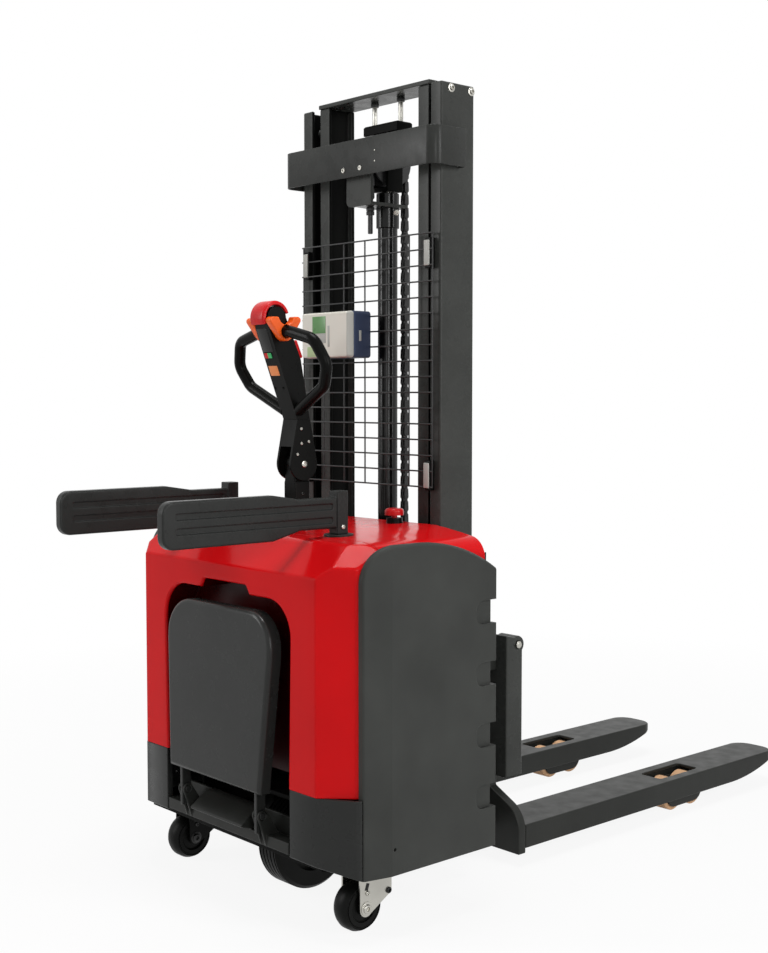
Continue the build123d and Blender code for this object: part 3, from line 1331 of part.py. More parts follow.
# Forks: hollow blades that lie over the support legs, with a window above the load rollers
with BuildPart() as fork_right:
    with BuildSketch(at_x(FORK_MID_X - FORK_W / 2)):
        with BuildLine():
            Line((FORK_REAR_Y, FORK_BOTTOM_Z), (FORK_TAPER_Y, FORK_BOTTOM_Z))
            ThreePointArc(
                (FORK_TAPER_Y, FORK_BOTTOM_Z), (FORK_BELLY_Y, FORK_BELLY_Z), (FORK_TIP_Y, FORK_TIP_Z)
            )
            Polyline(
                (FORK_TIP_Y, FORK_TIP_Z),
                (FORK_TIP_Y, FORK_TOP_Z),
                (FORK_REAR_Y, FORK_TOP_Z),
                (FORK_REAR_Y, FORK_BOTTOM_Z),
            )
        make_face()
    extrude(amount=FORK_W)
    fillet(fork_right.edges().filter_by(Axis.Z).group_by(Axis.Y)[-1], FORK_TIP_R)
    fillet(fork_right.edges().filter_by(Axis.Y).group_by(Axis.Z)[-1], FORK_EDGE_R)
    cavity_x = FORK_W / 2 - FORK_T
    block(
        (FORK_MID_X - cavity_x, FORK_MID_X + cavity_x),
        (FORK_REAR_Y, FORK_CAVITY_Y),
        (FORK_BOTTOM_Z - CUT_MARGIN, FORK_TOP_Z - FORK_T),
        mode=Mode.SUBTRACT,
    )
    block(
        (FORK_MID_X - FORK_W / 2, FORK_MID_X - cavity_x),
        (FORK_REAR_Y, FORK_INNER_WALL_Y),
        (FORK_BOTTOM_Z - CUT_MARGIN, FORK_TOP_Z - FORK_T),
        mode=Mode.SUBTRACT,
    )
    with BuildSketch(at_z(FORK_TOP_Z - FORK_T)):
        with Locations((FORK_MID_X, (WINDOW_REAR_Y + WINDOW_FRONT_Y) / 2)):
            RectangleRounded(WINDOW_W, WINDOW_FRONT_Y - WINDOW_REAR_Y, WINDOW_R)
    extrude(amount=FORK_T, mode=Mode.SUBTRACT)
keep(fork_right, "fork_right")

with BuildPart() as fork_left:
    mirror(fork_right.part, about=Plane.YZ)
keep(fork_left, "fork_left")

# Bogies and load rollers under the fork tips
bogie_plate_x = LOAD_ROLLER_W / 2 + BOGIE_PLATE_GAP
for side, side_name in ((-1, "left"), (1, "right")):
    middle_x = side * FORK_MID_X
    with BuildPart() as bogie:
        for x in (middle_x - bogie_plate_x - BOGIE_PLATE_T, middle_x + bogie_plate_x):
            with BuildSketch(at_x(x)):
                with Locations(
                    (ROLLER_MID_Y - ROLLER_SPACING / 2, LOAD_ROLLER_R),
                    (ROLLER_MID_Y + ROLLER_SPACING / 2, LOAD_ROLLER_R),
                ):
                    Circle(BOGIE_EDGE_R)
                make_hull()
            extrude(amount=BOGIE_PLATE_T)
        for x in (middle_x - LEG_W / 2, middle_x + bogie_plate_x):
            rod_x(x, x + LEG_W / 2 - bogie_plate_x, ROLLER_MID_Y, BOGIE_PIVOT_Z, BOGIE_PIVOT_R)
        for y in (ROLLER_MID_Y - ROLLER_SPACING / 2, ROLLER_MID_Y + ROLLER_SPACING / 2):
            rod_x(middle_x - bogie_plate_x, middle_x + bogie_plate_x, y, LOAD_ROLLER_R, LOAD_AXLE_R)
    keep(bogie, f"bogie_{side_name}")
    for end, end_name in ((-1, "rear"), (1, "front")):
        with BuildPart() as load_roller:
            roller_y = ROLLER_MID_Y + end * ROLLER_SPACING / 2
            roller_ends = (middle_x - LOAD_ROLLER_W / 2, middle_x + LOAD_ROLLER_W / 2)
            rod_x(*roller_ends, roller_y, LOAD_ROLLER_R, LOAD_ROLLER_R)
            chamfer(load_roller.edges().filter_by(GeomType.CIRCLE), LOAD_ROLLER_BEVEL)
            rod_x(*roller_ends, roller_y, LOAD_ROLLER_R, LOAD_AXLE_R + RUN_GAP, mode=Mode.SUBTRACT)
        keep(load_roller, f"load_roller_{side_name}_{end_name}")

# Drive wheel: ribbed tyre on a dished hub, a little right of the steering axis
drive_left_x = DRIVE_X - DRIVE_W / 2
drive_right_x = DRIVE_X + DRIVE_W / 2
with BuildPart() as drive_wheel:
    rod_x(drive_left_x, drive_right_x, STEER_Y, DRIVE_R, DRIVE_R)
    chamfer(drive_wheel.edges().filter_by(GeomType.CIRCLE), DRIVE_BEVEL)
    rod_x(drive_right_x - DRIVE_HUB_DISH, drive_right_x, STEER_Y, DRIVE_R, DRIVE_HUB_R, mode=Mode.SUBTRACT)
    rod_x(drive_left_x, drive_right_x, STEER_Y, DRIVE_R, DRIVE_AXLE_R + RUN_GAP, mode=Mode.SUBTRACT)
    rib_pitch = DRIVE_W / (DRIVE_RIBS + 1)
    for number in range(1, DRIVE_RIBS + 1):
        rib_x = drive_left_x + number * rib_pitch
        with BuildSketch(at_x(rib_x - DRIVE_RIB_W / 2)):
            with Locations((STEER_Y, DRIVE_R)):
                Circle(DRIVE_R)
                Circle(DRIVE_R - DRIVE_RIB_D, mode=Mode.SUBTRACT)
        extrude(amount=DRIVE_RIB_W, mode=Mode.SUBTRACT)
keep(drive_wheel, "drive_wheel")

# Steering turret: gearbox beside the wheel, flange and neck in the bridge, column and tiller post above
flange_top_z = BRIDGE_Z - SEAT_GAP
neck_top_z = flange_top_z + TURRET_NECK_H
motor_top_z = neck_top_z + MOTOR_H
gearbox_x = drive_left_x - GEARBOX_GAP - GEARBOX_W
with BuildPart() as steering_turret:
    with BuildSketch(at_x(gearbox_x)):
        with Locations((STEER_Y, DRIVE_R)):
            Circle(GEARBOX_R)
            gearbox_h = flange_top_z - DRIVE_R - TURRET_FLANGE_T / 2
            Rectangle(2 * GEARBOX_R, gearbox_h, align=(Align.CENTER, Align.MIN))
    extrude(amount=GEARBOX_W)
    rod_z(0, STEER_Y, flange_top_z - TURRET_FLANGE_T, flange_top_z, TURRET_FLANGE_R)
    rod_z(0, STEER_Y, flange_top_z, neck_top_z, TURRET_NECK_R)
    rod_x(gearbox_x + GEARBOX_W, drive_right_x - DRIVE_HUB_DISH, STEER_Y, DRIVE_R, DRIVE_AXLE_R)
    rod_z(0, STEER_Y, motor_top_z, POST_BOTTOM_Z, COLUMN_R)
    block(
        (-POST_W / 2, POST_W / 2),
        (STEER_Y - POST_D / 2, STEER_Y + POST_D / 2),
        (POST_BOTTOM_Z, POST_TOP_Z),
    )
    with BuildSketch(at_x(-EAR_W / 2)):
        with Locations((STEER_Y, TILT_Z)):
            Circle(POST_D / 2)
            Rectangle(POST_D, TILT_Z - POST_TOP_Z, align=(Align.CENTER, Align.MAX))
            Circle(TILT_PIN_R + RUN_GAP, mode=Mode.SUBTRACT)
    extrude(amount=EAR_W)
keep(steering_turret, "steering_turret")

with BuildPart() as drive_motor:
    rod_z(0, STEER_Y, neck_top_z, motor_top_z - MOTOR_CAP_H, MOTOR_R)
    rod_z(0, STEER_Y, motor_top_z - MOTOR_CAP_H, motor_top_z, MOTOR_CAP_R)
keep(drive_motor, "drive_motor")

# Tiller yoke: bent channel on the tilt pin
with BuildPart() as tiller_yoke:
    with BuildSketch(at_x(-YOKE_W / 2)):
        with Locations((STEER_Y, TILT_Z)):
            Circle(YOKE_R)
        with Locations((STEER_Y, YOKE_TOP_Z - YOKE_T)):
            Rectangle(YOKE_TOP_D, 2 * YOKE_T)
        make_hull()
    extrude(amount=YOKE_W)
    block(
        (-YOKE_W / 2 + YOKE_T, YOKE_W / 2 - YOKE_T),
        (STEER_Y - YOKE_TOP_D / 2 + YOKE_T, STEER_Y + 2 * YOKE_R),
        (TILT_Z - 2 * YOKE_R, YOKE_TOP_Z),
        mode=Mode.SUBTRACT,
    )
    block(
        (-YOKE_W / 2 + YOKE_T, YOKE_W / 2 - YOKE_T),
        (STEER_Y - 2 * YOKE_R, STEER_Y + 2 * YOKE_R),
        (TILT_Z - 2 * YOKE_R, YOKE_WEB_Z),
        mode=Mode.SUBTRACT,
    )
    rod_x(-YOKE_W / 2, YOKE_W / 2, STEER_Y, TILT_Z, TILT_PIN_R)
keep(tiller_yoke, "tiller_yoke")

# Tiller head: leaning column that widens into the control head
lean_tan = tan(radians(HEAD_LEAN))
root_rear_y = STEER_Y - HEAD_ROOT_D / 2


def head_rear_y(z):
    """Place of the control face at a height."""
    return root_rear_y - (z - YOKE_TOP_Z) * lean_tan


head_up = Vector(0, -sin(radians(HEAD_LEAN)), cos(radians(HEAD_LEAN)))
head_back = Vector(0, -cos(radians(HEAD_LEAN)), -sin(radians(HEAD_LEAN)))
head_top = Vector(0, HEAD_TOP_Y, HEAD_TOP_Z)
rear_tangent = head_top + head_back * HEAD_TOP_R
front_tangent = head_top - head_back * HEAD_TOP_R
crown_point = head_top + head_up * HEAD_TOP_R
with BuildPart() as tiller_head:
    with BuildSketch(at_x(-HEAD_W / 2)):
        with BuildLine():
            Polyline(
                (rear_tangent.Y, rear_tangent.Z),
                (head_rear_y(HEAD_TOP_Z - HEAD_TOP_R), HEAD_TOP_Z - HEAD_TOP_R),
                (root_rear_y, YOKE_TOP_Z),
                (root_rear_y + HEAD_ROOT_D, YOKE_TOP_Z),
                (head_rear_y(HEAD_SHOULDER_Z) + HEAD_D, HEAD_SHOULDER_Z),
                (front_tangent.Y, front_tangent.Z),
            )
            ThreePointArc(
                (front_tangent.Y, front_tangent.Z),
                (crown_point.Y, crown_point.Z),
                (rear_tangent.Y, rear_tangent.Z),
            )
        make_face()
    extrude(amount=HEAD_W)
    block(
        (-TONGUE_W / 2, TONGUE_W / 2),
        (STEER_Y - TONGUE_D / 2 + YOKE_T, STEER_Y + TONGUE_D / 2 + YOKE_T / 2),
        (TONGUE_Z, YOKE_TOP_Z),
    )
    rocker_seat = Plane(
        origin=(ROCKER_X, head_rear_y(ROCKER_FACE_Z), ROCKER_FACE_Z),
        x_dir=(1, 0, 0),
        z_dir=head_back,
    )
    with BuildSketch(rocker_seat):
        Rectangle(ROCKER_W + 2 * ROCKER_GAP, ROCKER_L + 2 * ROCKER_GAP)
    extrude(amount=-ROCKER_T, mode=Mode.SUBTRACT)
    stem_floor = head_top + head_up * (HEAD_TOP_R - STEM_DEPTH)
    with Locations(Plane(origin=stem_floor, z_dir=head_up)):
        Cylinder(
            STEM_R + RUN_GAP,
            2 * STEM_DEPTH,
            align=(Align.CENTER, Align.CENTER, Align.MIN),
            mode=Mode.SUBTRACT,
        )
keep(tiller_head, "tiller_head")


def cap_point(radius, angle):
    """Point on the cap's side view; the angle runs from the front over the crown to the rear."""
    a = radians(angle)
    spot = head_top - head_back * (radius * cos(a)) + head_up * (radius * sin(a))
    return (spot.Y, spot.Z)


# Reversing safety cap over the top of the head, on a stem in the head
with BuildPart() as reverse_cap:
    cap_inner_r = HEAD_TOP_R + CAP_GAP
    cap_outer_r = cap_inner_r + CAP_T
    cap_mid = (CAP_START + CAP_END) / 2
    with BuildSketch(at_x(-HEAD_W / 2)):
        with BuildLine():
            ThreePointArc(
                cap_point(cap_outer_r, CAP_START),
                cap_point(cap_outer_r, cap_mid),
                cap_point(cap_outer_r, CAP_END),
            )
            Line(cap_point(cap_outer_r, CAP_END), cap_point(cap_inner_r, CAP_END))
            ThreePointArc(
                cap_point(cap_inner_r, CAP_END),
                cap_point(cap_inner_r, cap_mid),
                cap_point(cap_inner_r, CAP_START),
            )
            Line(cap_point(cap_inner_r, CAP_START), cap_point(cap_outer_r, CAP_START))
        make_face()
    extrude(amount=HEAD_W)
    with Locations(Plane(origin=stem_floor + head_up * CAP_GAP, z_dir=head_up)):
        Cylinder(
            STEM_R,
            STEM_DEPTH + CAP_T / 2,
            align=(Align.CENTER, Align.CENTER, Align.MIN),
        )
keep(reverse_cap, "reverse_cap")

# Throttle: a butterfly on each grip root, beside the head
with BuildPart() as throttle:
    throttle_x = HEAD_W / 2 + SEAT_GAP
    with BuildSketch(at_x(throttle_x)):
        with Locations((THROTTLE_Y, THROTTLE_Z)):
            Circle(THROTTLE_HUB_R)
            with Locations(THROTTLE_REAR):
                Circle(THROTTLE_LOBE_R)
            with Locations(THROTTLE_FRONT):
                Circle(THROTTLE_LOBE_R)
        make_hull()
        with Locations((THROTTLE_Y, THROTTLE_Z + THROTTLE_SCOOP_RISE)):
            Circle(THROTTLE_HUB_R, mode=Mode.SUBTRACT)
        with Locations((THROTTLE_Y, THROTTLE_Z)):
            Circle(GRIP_R + RUN_GAP, mode=Mode.SUBTRACT)
    extrude(amount=THROTTLE_W)
    mirror(about=Plane.YZ)
keep(throttle, "throttle")

# Grips: bent tube loops from the throttle hubs back to the foot of the column
grip_down = Vector(0, sin(radians(GRIP_LEAN)), -cos(radians(GRIP_LEAN)))
grip_root = Vector(0, THROTTLE_Y, THROTTLE_Z)


def grip_point(x, down):
    """Point of the grip's centre line, by its distance from the centre plane and down the lean."""
    return tuple(grip_root + Vector(x, 0, 0) + grip_down * down)


with BuildPart() as tiller_grips:
    with BuildLine() as grip_path:
        FilletPolyline(
            grip_point(HEAD_W / 2 - SEAT_GAP, 0),
            grip_point(HEAD_W / 2 + THROTTLE_W + GRIP_R, 0),
            grip_point(GRIP_SHOULDER, GRIP_DROP),
            grip_point(GRIP_REACH, GRIP_WAIST),
            grip_point(GRIP_SHOULDER, GRIP_ELBOW),
            grip_point(HEAD_W / 2 - SEAT_GAP, GRIP_FOOT),
            radius=GRIP_BEND_R,
        )
    with BuildSketch(Plane(origin=grip_path.line @ 0, z_dir=grip_path.line % 0)):
        Circle(GRIP_R)
    sweep()
    add(tiller_head.part, mode=Mode.SUBTRACT)
    mirror(about=Plane.YZ)
keep(tiller_grips, "tiller_grips")

# Lift rocker in the control face, on a round rib that turns on the pocket's floor
with BuildPart() as lift_rocker:
    with BuildSketch(rocker_seat):
        Rectangle(ROCKER_W, ROCKER_L)
    extrude(amount=ROCKER_PROUD)
    with Locations(rocker_seat.offset(-ROCKER_T / 2)):
        Box(ROCKER_T / 2, ROCKER_L, ROCKER_T / 2, align=(Align.CENTER, Align.CENTER, Align.MIN))
        Cylinder(ROCKER_T / 2 - RUN_GAP, ROCKER_L, rotation=(90, 0, 0))
keep(lift_rocker, "lift_rocker")

# Emergency switch on the front hood
with BuildPart() as estop_base:
    rod_z(STOP_X, STOP_Y, STOP_SEAT_Z, STOP_SEAT_Z + STOP_BODY_H, STOP_BODY_R)
    rod_z(STOP_X, STOP_Y, STOP_SEAT_Z - STOP_BODY_DEPTH, STOP_SEAT_Z, STOP_SHANK_R)
    rod_z(
        STOP_X,
        STOP_Y,
        STOP_SEAT_Z - STOP_BODY_DEPTH / 2,
        STOP_SEAT_Z + STOP_BODY_H,
        STOP_STEM_R + RUN_GAP,
        mode=Mode.SUBTRACT,
    )
keep(estop_base, "estop_base")

with BuildPart() as estop_button:
    stop_head_z = STOP_SEAT_Z + STOP_BODY_H + STOP_TRAVEL_GAP
    rod_z(STOP_X, STOP_Y, stop_head_z, stop_head_z + STOP_HEAD_H, STOP_HEAD_R)
    fillet(estop_button.edges().group_by(Axis.Z)[-1], STOP_HEAD_EDGE_R)
    rod_z(STOP_X, STOP_Y, STOP_SEAT_Z - STOP_BODY_DEPTH / 2 + STOP_TRAVEL_GAP, stop_head_z, STOP_STEM_R)
keep(estop_button, "estop_button")

# Arm guard sockets: tubes on the chassis floor with a flange on the hood
with BuildPart() as guard_sockets:
    for side in (-1, 1):
        x = side * GUARD_X
        rod_z(x, GUARD_Y, FLOOR_TOP_Z, GUARD_SEAT_Z, GUARD_TUBE_R)
        rod_z(x, GUARD_Y, GUARD_SEAT_Z, GUARD_SEAT_Z + GUARD_FLANGE_T, GUARD_FLANGE_R)
        rod_z(
            x,
            GUARD_Y,
            GUARD_SEAT_Z + GUARD_FLANGE_T - GUARD_PIN_DEPTH - GUARD_PIN_END_GAP,
            GUARD_SEAT_Z + GUARD_FLANGE_T,
            GUARD_PIN_R + RUN_GAP,
            mode=Mode.SUBTRACT,
        )
keep(guard_sockets, "guard_sockets")

# Arm guards: a post on a pin, and a long paddle with two grooves on each face
guard_foot_z = GUARD_SEAT_Z + GUARD_FLANGE_T + SEAT_GAP
for side, side_name in ((-1, "left"), (1, "right")):
    with BuildPart() as guard_arm:
        with BuildSketch(at_x(side * GUARD_X - GUARD_T / 2)) as paddle:
            with BuildLine():
                Polyline(
                    (GUARD_Y, GUARD_NECK_LOW_Z),
                    (GUARD_Y, GUARD_NECK_HIGH_Z),
                    (GUARD_NECK_Y, GUARD_NECK_HIGH_Z),
                    (GUARD_FLARE_Y, GUARD_BLADE_HIGH_Z),
                    (GUARD_END_Y, GUARD_BLADE_HIGH_Z),
                    (GUARD_END_Y, GUARD_BLADE_LOW_Z),
                    (GUARD_FLARE_Y, GUARD_BLADE_LOW_Z),
                    (GUARD_NECK_Y, GUARD_NECK_LOW_Z),
                    close=True,
                )
            make_face()
            fillet(paddle.vertices().sort_by(Axis.X)[:2], GUARD_END_R)
        extrude(amount=GUARD_T)
        chamfer(guard_arm.faces().sort_by(Axis.X)[0].edges(), GUARD_EDGE_R)
        chamfer(guard_arm.faces().sort_by(Axis.X)[-1].edges(), GUARD_EDGE_R)
        groove_l = GROOVE_FRONT_Y - GROOVE_REAR_Y
        for face_x, inward in ((side * GUARD_X - GUARD_T / 2, 1), (side * GUARD_X + GUARD_T / 2, -1)):
            with BuildSketch(at_x(face_x)):
                for number in range(GROOVE_COUNT):
                    with Locations((GROOVE_REAR_Y, GROOVE_LOW_Z + number * GROOVE_PITCH)):
                        RectangleRounded(groove_l, GROOVE_H, GROOVE_R, align=(Align.MIN, Align.CENTER))
            extrude(amount=inward * GROOVE_D, mode=Mode.SUBTRACT)
        with BuildSketch(at_z(guard_foot_z)):
            with Locations((side * GUARD_X, GUARD_Y)):
                RectangleRounded(GUARD_POST_W, GUARD_POST_W, GUARD_EDGE_R)
        extrude(amount=GUARD_POST_TOP_Z - guard_foot_z)
        rod_z(
            side * GUARD_X,
            GUARD_Y,
            GUARD_SEAT_Z + GUARD_FLANGE_T - GUARD_PIN_DEPTH,
            guard_foot_z,
            GUARD_PIN_R,
        )
    keep(guard_arm, f"guard_arm_{side_name}")

# Folding platform: padded plate on two hinge arms, stored upright with a slight forward lean
pad_plane = Plane(
    origin=(0, HINGE_Y, HINGE_Z),
    x_dir=(1, 0, 0),
    z_dir=(0, -cos(radians(PAD_LEAN)), sin(radians(PAD_LEAN))),
)
with BuildPart() as platform:
    with BuildSketch(pad_plane.offset(-PAD_REAR - PAD_T)) as pad:
        with BuildLine():
            Polyline(
                (PAD_HALF_W, PAD_BOTTOM),
                (PAD_SHOULDER_HALF_W, PAD_SHOULDER),
                (PAD_SHOULDER_HALF_W, PAD_TOP),
                (-PAD_SHOULDER_HALF_W, PAD_TOP),
                (-PAD_SHOULDER_HALF_W, PAD_SHOULDER),
                (-PAD_HALF_W, PAD_BOTTOM),
                close=True,
            )
        make_face()
        fillet(pad.vertices().sort_by(Axis.Y)[-2:], PAD_CORNER_R)
    extrude(amount=PAD_T)
    fillet(platform.faces().sort_by(Axis.Y)[0].edges(), PAD_EDGE_R)
    for side in (-1, 1):
        arm_x = side * PAD_ARM_X - PAD_ARM_W / 2
        arm_h = PAD_ARM_TAIL + PAD_BOTTOM + 2 * PAD_EDGE_R
        with BuildSketch(at_x(arm_x)):
            with Locations((HINGE_Y, HINGE_Z - PAD_ARM_TAIL)):
                Rectangle(PAD_ARM_D, arm_h, align=(Align.CENTER, Align.MIN))
        extrude(amount=PAD_ARM_W)
        pin = sorted((side * lug_inner_x, side * (lug_outer_x + LUG_T)))
        rod_x(pin[0], pin[1], HINGE_Y, HINGE_Z, HINGE_PIN_R)
keep(platform, "platform")

# Casters: swivel fork with two side plates, and a dished wheel
plate_in_x = CASTER_W / 2 + CASTER_PLATE_GAP
axle_y = CASTER_Y - CASTER_TRAIL
for side, side_name in ((-1, "left"), (1, "right")):
    middle_x = side * CASTER_X
    with BuildPart() as caster_fork:
        crown_w = 2 * (plate_in_x + CASTER_PLATE_T)
        with BuildSketch(at_z(CASTER_CROWN_Z)):
            with Locations((middle_x, CASTER_Y)):
                RectangleRounded(crown_w, 2 * CASTER_PLATE_FRONT, CASTER_CROWN_R)
        extrude(amount=CASTER_CROWN_T)
        for x in (middle_x - plate_in_x - CASTER_PLATE_T, middle_x + plate_in_x):
            with BuildSketch(at_x(x)):
                with BuildLine():
                    Polyline(
                        (axle_y - CASTER_BOSS_R, CASTER_R),
                        (axle_y - CASTER_BOSS_R, CASTER_CROWN_Z + CASTER_CROWN_T / 2),
                        (CASTER_Y + CASTER_PLATE_FRONT, CASTER_CROWN_Z + CASTER_CROWN_T / 2),
                        (CASTER_Y + CASTER_PLATE_FRONT, CASTER_PLATE_KNEE_Z),
                        (axle_y + CASTER_PLATE_HEEL, CASTER_R - CASTER_PLATE_HEEL),
                        close=True,
                    )
                make_face()
                with Locations((axle_y, CASTER_R)):
                    Circle(CASTER_BOSS_R)
            extrude(amount=CASTER_PLATE_T)
        rod_x(middle_x - plate_in_x, middle_x + plate_in_x, axle_y, CASTER_R, CASTER_AXLE_R)
        rod_z(
            middle_x, CASTER_Y, CASTER_CROWN_Z + CASTER_CROWN_T, CASTER_CROWN_Z + CASTER_STEM_H, CASTER_STEM_R
        )
    keep(caster_fork, f"caster_fork_{side_name}")
    with BuildPart() as caster_wheel:
        wheel_ends = (middle_x - CASTER_W / 2, middle_x + CASTER_W / 2)
        rod_x(*wheel_ends, axle_y, CASTER_R, CASTER_R)
        fillet(caster_wheel.edges().filter_by(GeomType.CIRCLE), CASTER_HUB_DISH)
        for end in wheel_ends:
            dish = sorted((end, end + (CASTER_HUB_DISH if end < middle_x else -CASTER_HUB_DISH)))
            rod_x(*dish, axle_y, CASTER_R, CASTER_HUB_R, mode=Mode.SUBTRACT)
        rod_x(*wheel_ends, axle_y, CASTER_R, CASTER_AXLE_R + RUN_GAP, mode=Mode.SUBTRACT)
    keep(caster_wheel, f"caster_wheel_{side_name}")

# Equipment under the hood: batteries, pump unit and motor controller
bulkhead_rear_y = MAST_REAR_Y - BULKHEAD_T
with BuildPart() as batteries:
    for side in (-1, 1):
        span = sorted((side * BATTERY_X, side * (BATTERY_X + BATTERY_W)))
        front_y = bulkhead_rear_y - BATTERY_BULKHEAD_GAP
        block(span, (front_y - BATTERY_D, front_y), (FLOOR_TOP_Z, FLOOR_TOP_Z + BATTERY_H))
keep(batteries, "batteries")

with BuildPart() as pump_unit:
    block(
        (PUMP_X - PUMP_TANK_W / 2, PUMP_X + PUMP_TANK_W / 2),
        (bulkhead_rear_y - PUMP_TANK_D, bulkhead_rear_y),
        (PUMP_Z, PUMP_Z + PUMP_TANK_H),
    )
    pump_y = bulkhead_rear_y - PUMP_TANK_D / 2
    rod_x(
        PUMP_X + PUMP_TANK_W / 2,
        PUMP_X + PUMP_TANK_W / 2 + PUMP_MOTOR_H,
        pump_y,
        PUMP_Z + PUMP_TANK_H / 2,
        PUMP_MOTOR_R,
    )
keep(pump_unit, "pump_unit")

with BuildPart() as motor_controller:
    block(
        (CONTROLLER_X - CONTROLLER_W / 2, CONTROLLER_X + CONTROLLER_W / 2),
        (bulkhead_rear_y - CONTROLLER_D, bulkhead_rear_y),
        (CONTROLLER_Z, CONTROLLER_Z + CONTROLLER_H),
    )
    fin_pitch = CONTROLLER_W / (CONTROLLER_FINS + 1)
    for number in range(1, CONTROLLER_FINS + 1):
        fin_x = CONTROLLER_X - CONTROLLER_W / 2 + number * fin_pitch
        block(
            (fin_x - fin_pitch / 4, fin_x + fin_pitch / 4),
            (bulkhead_rear_y - CONTROLLER_D, bulkhead_rear_y - CONTROLLER_D + CONTROLLER_FIN_D),
            (CONTROLLER_Z, CONTROLLER_Z + CONTROLLER_H),
            mode=Mode.SUBTRACT,
        )
keep(motor_controller, "motor_controller")
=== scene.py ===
"""Dress of a rider stacker: finishes and rounded edges for its CAD nodes, the mast cover, the wire guard,
the chains, the tiller's cap, the caster wheels, screws and other small trim, and a plain studio stage.
Metres, +Z up, +Y towards the fork tips."""
import json
from math import cos, pi, radians, sin, tan

import bpy
from bpy.props import FloatProperty, FloatVectorProperty, IntProperty, PointerProperty
from bpy.types import Operator, Panel, PropertyGroup
from mathutils import Matrix, Vector

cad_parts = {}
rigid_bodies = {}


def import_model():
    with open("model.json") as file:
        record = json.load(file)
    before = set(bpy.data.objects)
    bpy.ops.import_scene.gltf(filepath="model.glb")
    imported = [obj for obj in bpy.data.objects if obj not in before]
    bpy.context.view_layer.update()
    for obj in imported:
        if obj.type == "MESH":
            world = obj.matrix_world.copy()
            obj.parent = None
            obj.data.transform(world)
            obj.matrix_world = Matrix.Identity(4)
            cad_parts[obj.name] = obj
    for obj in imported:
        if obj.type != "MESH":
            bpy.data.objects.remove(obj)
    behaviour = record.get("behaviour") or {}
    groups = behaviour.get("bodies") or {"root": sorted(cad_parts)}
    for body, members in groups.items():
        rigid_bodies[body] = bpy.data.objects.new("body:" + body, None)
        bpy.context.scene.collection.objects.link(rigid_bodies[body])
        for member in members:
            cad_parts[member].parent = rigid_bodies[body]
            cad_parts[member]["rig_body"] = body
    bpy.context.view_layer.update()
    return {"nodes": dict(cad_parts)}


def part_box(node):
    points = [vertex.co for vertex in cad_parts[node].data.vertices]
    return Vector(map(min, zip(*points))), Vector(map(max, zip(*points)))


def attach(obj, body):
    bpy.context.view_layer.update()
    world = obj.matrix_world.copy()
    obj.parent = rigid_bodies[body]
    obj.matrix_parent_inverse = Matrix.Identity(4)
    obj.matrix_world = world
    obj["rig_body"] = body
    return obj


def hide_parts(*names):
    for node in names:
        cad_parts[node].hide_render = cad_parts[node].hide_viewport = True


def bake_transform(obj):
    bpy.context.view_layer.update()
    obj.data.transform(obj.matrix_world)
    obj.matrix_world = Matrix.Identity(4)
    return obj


bl_info = {
    "name": "Rider stacker dress",
    "version": (1, 1, 0),
    "blender": (4, 5, 0),
    "location": "3D View > Sidebar > Stacker",
    "description": "Finishes, trim and stage for a rider stacker",
    "category": "Object",
}

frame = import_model()
NODES = frame["nodes"]
MM = 0.001


def colour(name, description, default):
    """Colour that a user may change."""
    return FloatVectorProperty(
        name=name, description=description, default=default, size=3, min=0.0, max=1.0, subtype="COLOR"
    )


def length(name, description, default):
    """Size in metres that a user may change."""
    return FloatProperty(name=name, description=description, default=default, min=0.0, unit="LENGTH")


class StackerFinishes(PropertyGroup):
    """Colours of the truck's paints, plastics and metals."""

    hood_red: colour("Hood red", "Gloss paint of the two hoods", (0.60, 0.004, 0.006))
    charcoal: colour("Charcoal", "Textured coat of the side panels and the mast", (0.043, 0.045, 0.042))
    fork_coat: colour("Fork coat", "Coat of the forks, the carriage and the skirts", (0.021, 0.022, 0.020))
    black: colour("Black", "Moulded black plastic", (0.0040, 0.0042, 0.0038))
    rubber: colour("Rubber", "Tyres and the pads of the arm guards", (0.022, 0.023, 0.022))
    ivory: colour("Ivory", "Cover of the charger", (0.69, 0.68, 0.62))
    navy: colour("Navy", "Base of the charger", (0.013, 0.026, 0.058))
    orange: colour("Orange", "Throttle wings", (0.84, 0.11, 0.008))
    patch: colour("Patch", "Plain patch on the control face", (0.80, 0.27, 0.09))
    signal_red: colour("Signal red", "Switches and the cap of the tiller", (0.55, 0.010, 0.012))
    signal_green: colour("Signal green", "Lowering half of the rocker", (0.03, 0.42, 0.12))
    display: colour("Display", "Display of the charger", (0.105, 0.27, 0.085))
    tan: colour("Tan", "Load rollers", (0.60, 0.36, 0.19))
    charger_grey: colour("Charger grey", "Plain fields of the charger, clips", (0.40, 0.40, 0.37))
    pale_green: colour("Pale green", "Lower field of the charger", (0.42, 0.53, 0.28))
    cast_grey: colour("Cast grey", "Motor, pump and controller", (0.25, 0.25, 0.26))
    worn: colour("Worn", "Rubbed edges of the coated steel", (0.13, 0.13, 0.126))
    steel: colour("Steel", "Plated screws, rods and brackets", (0.46, 0.45, 0.41))
    dark_steel: colour("Dark steel", "Oiled chain and mast rollers", (0.022, 0.022, 0.022))


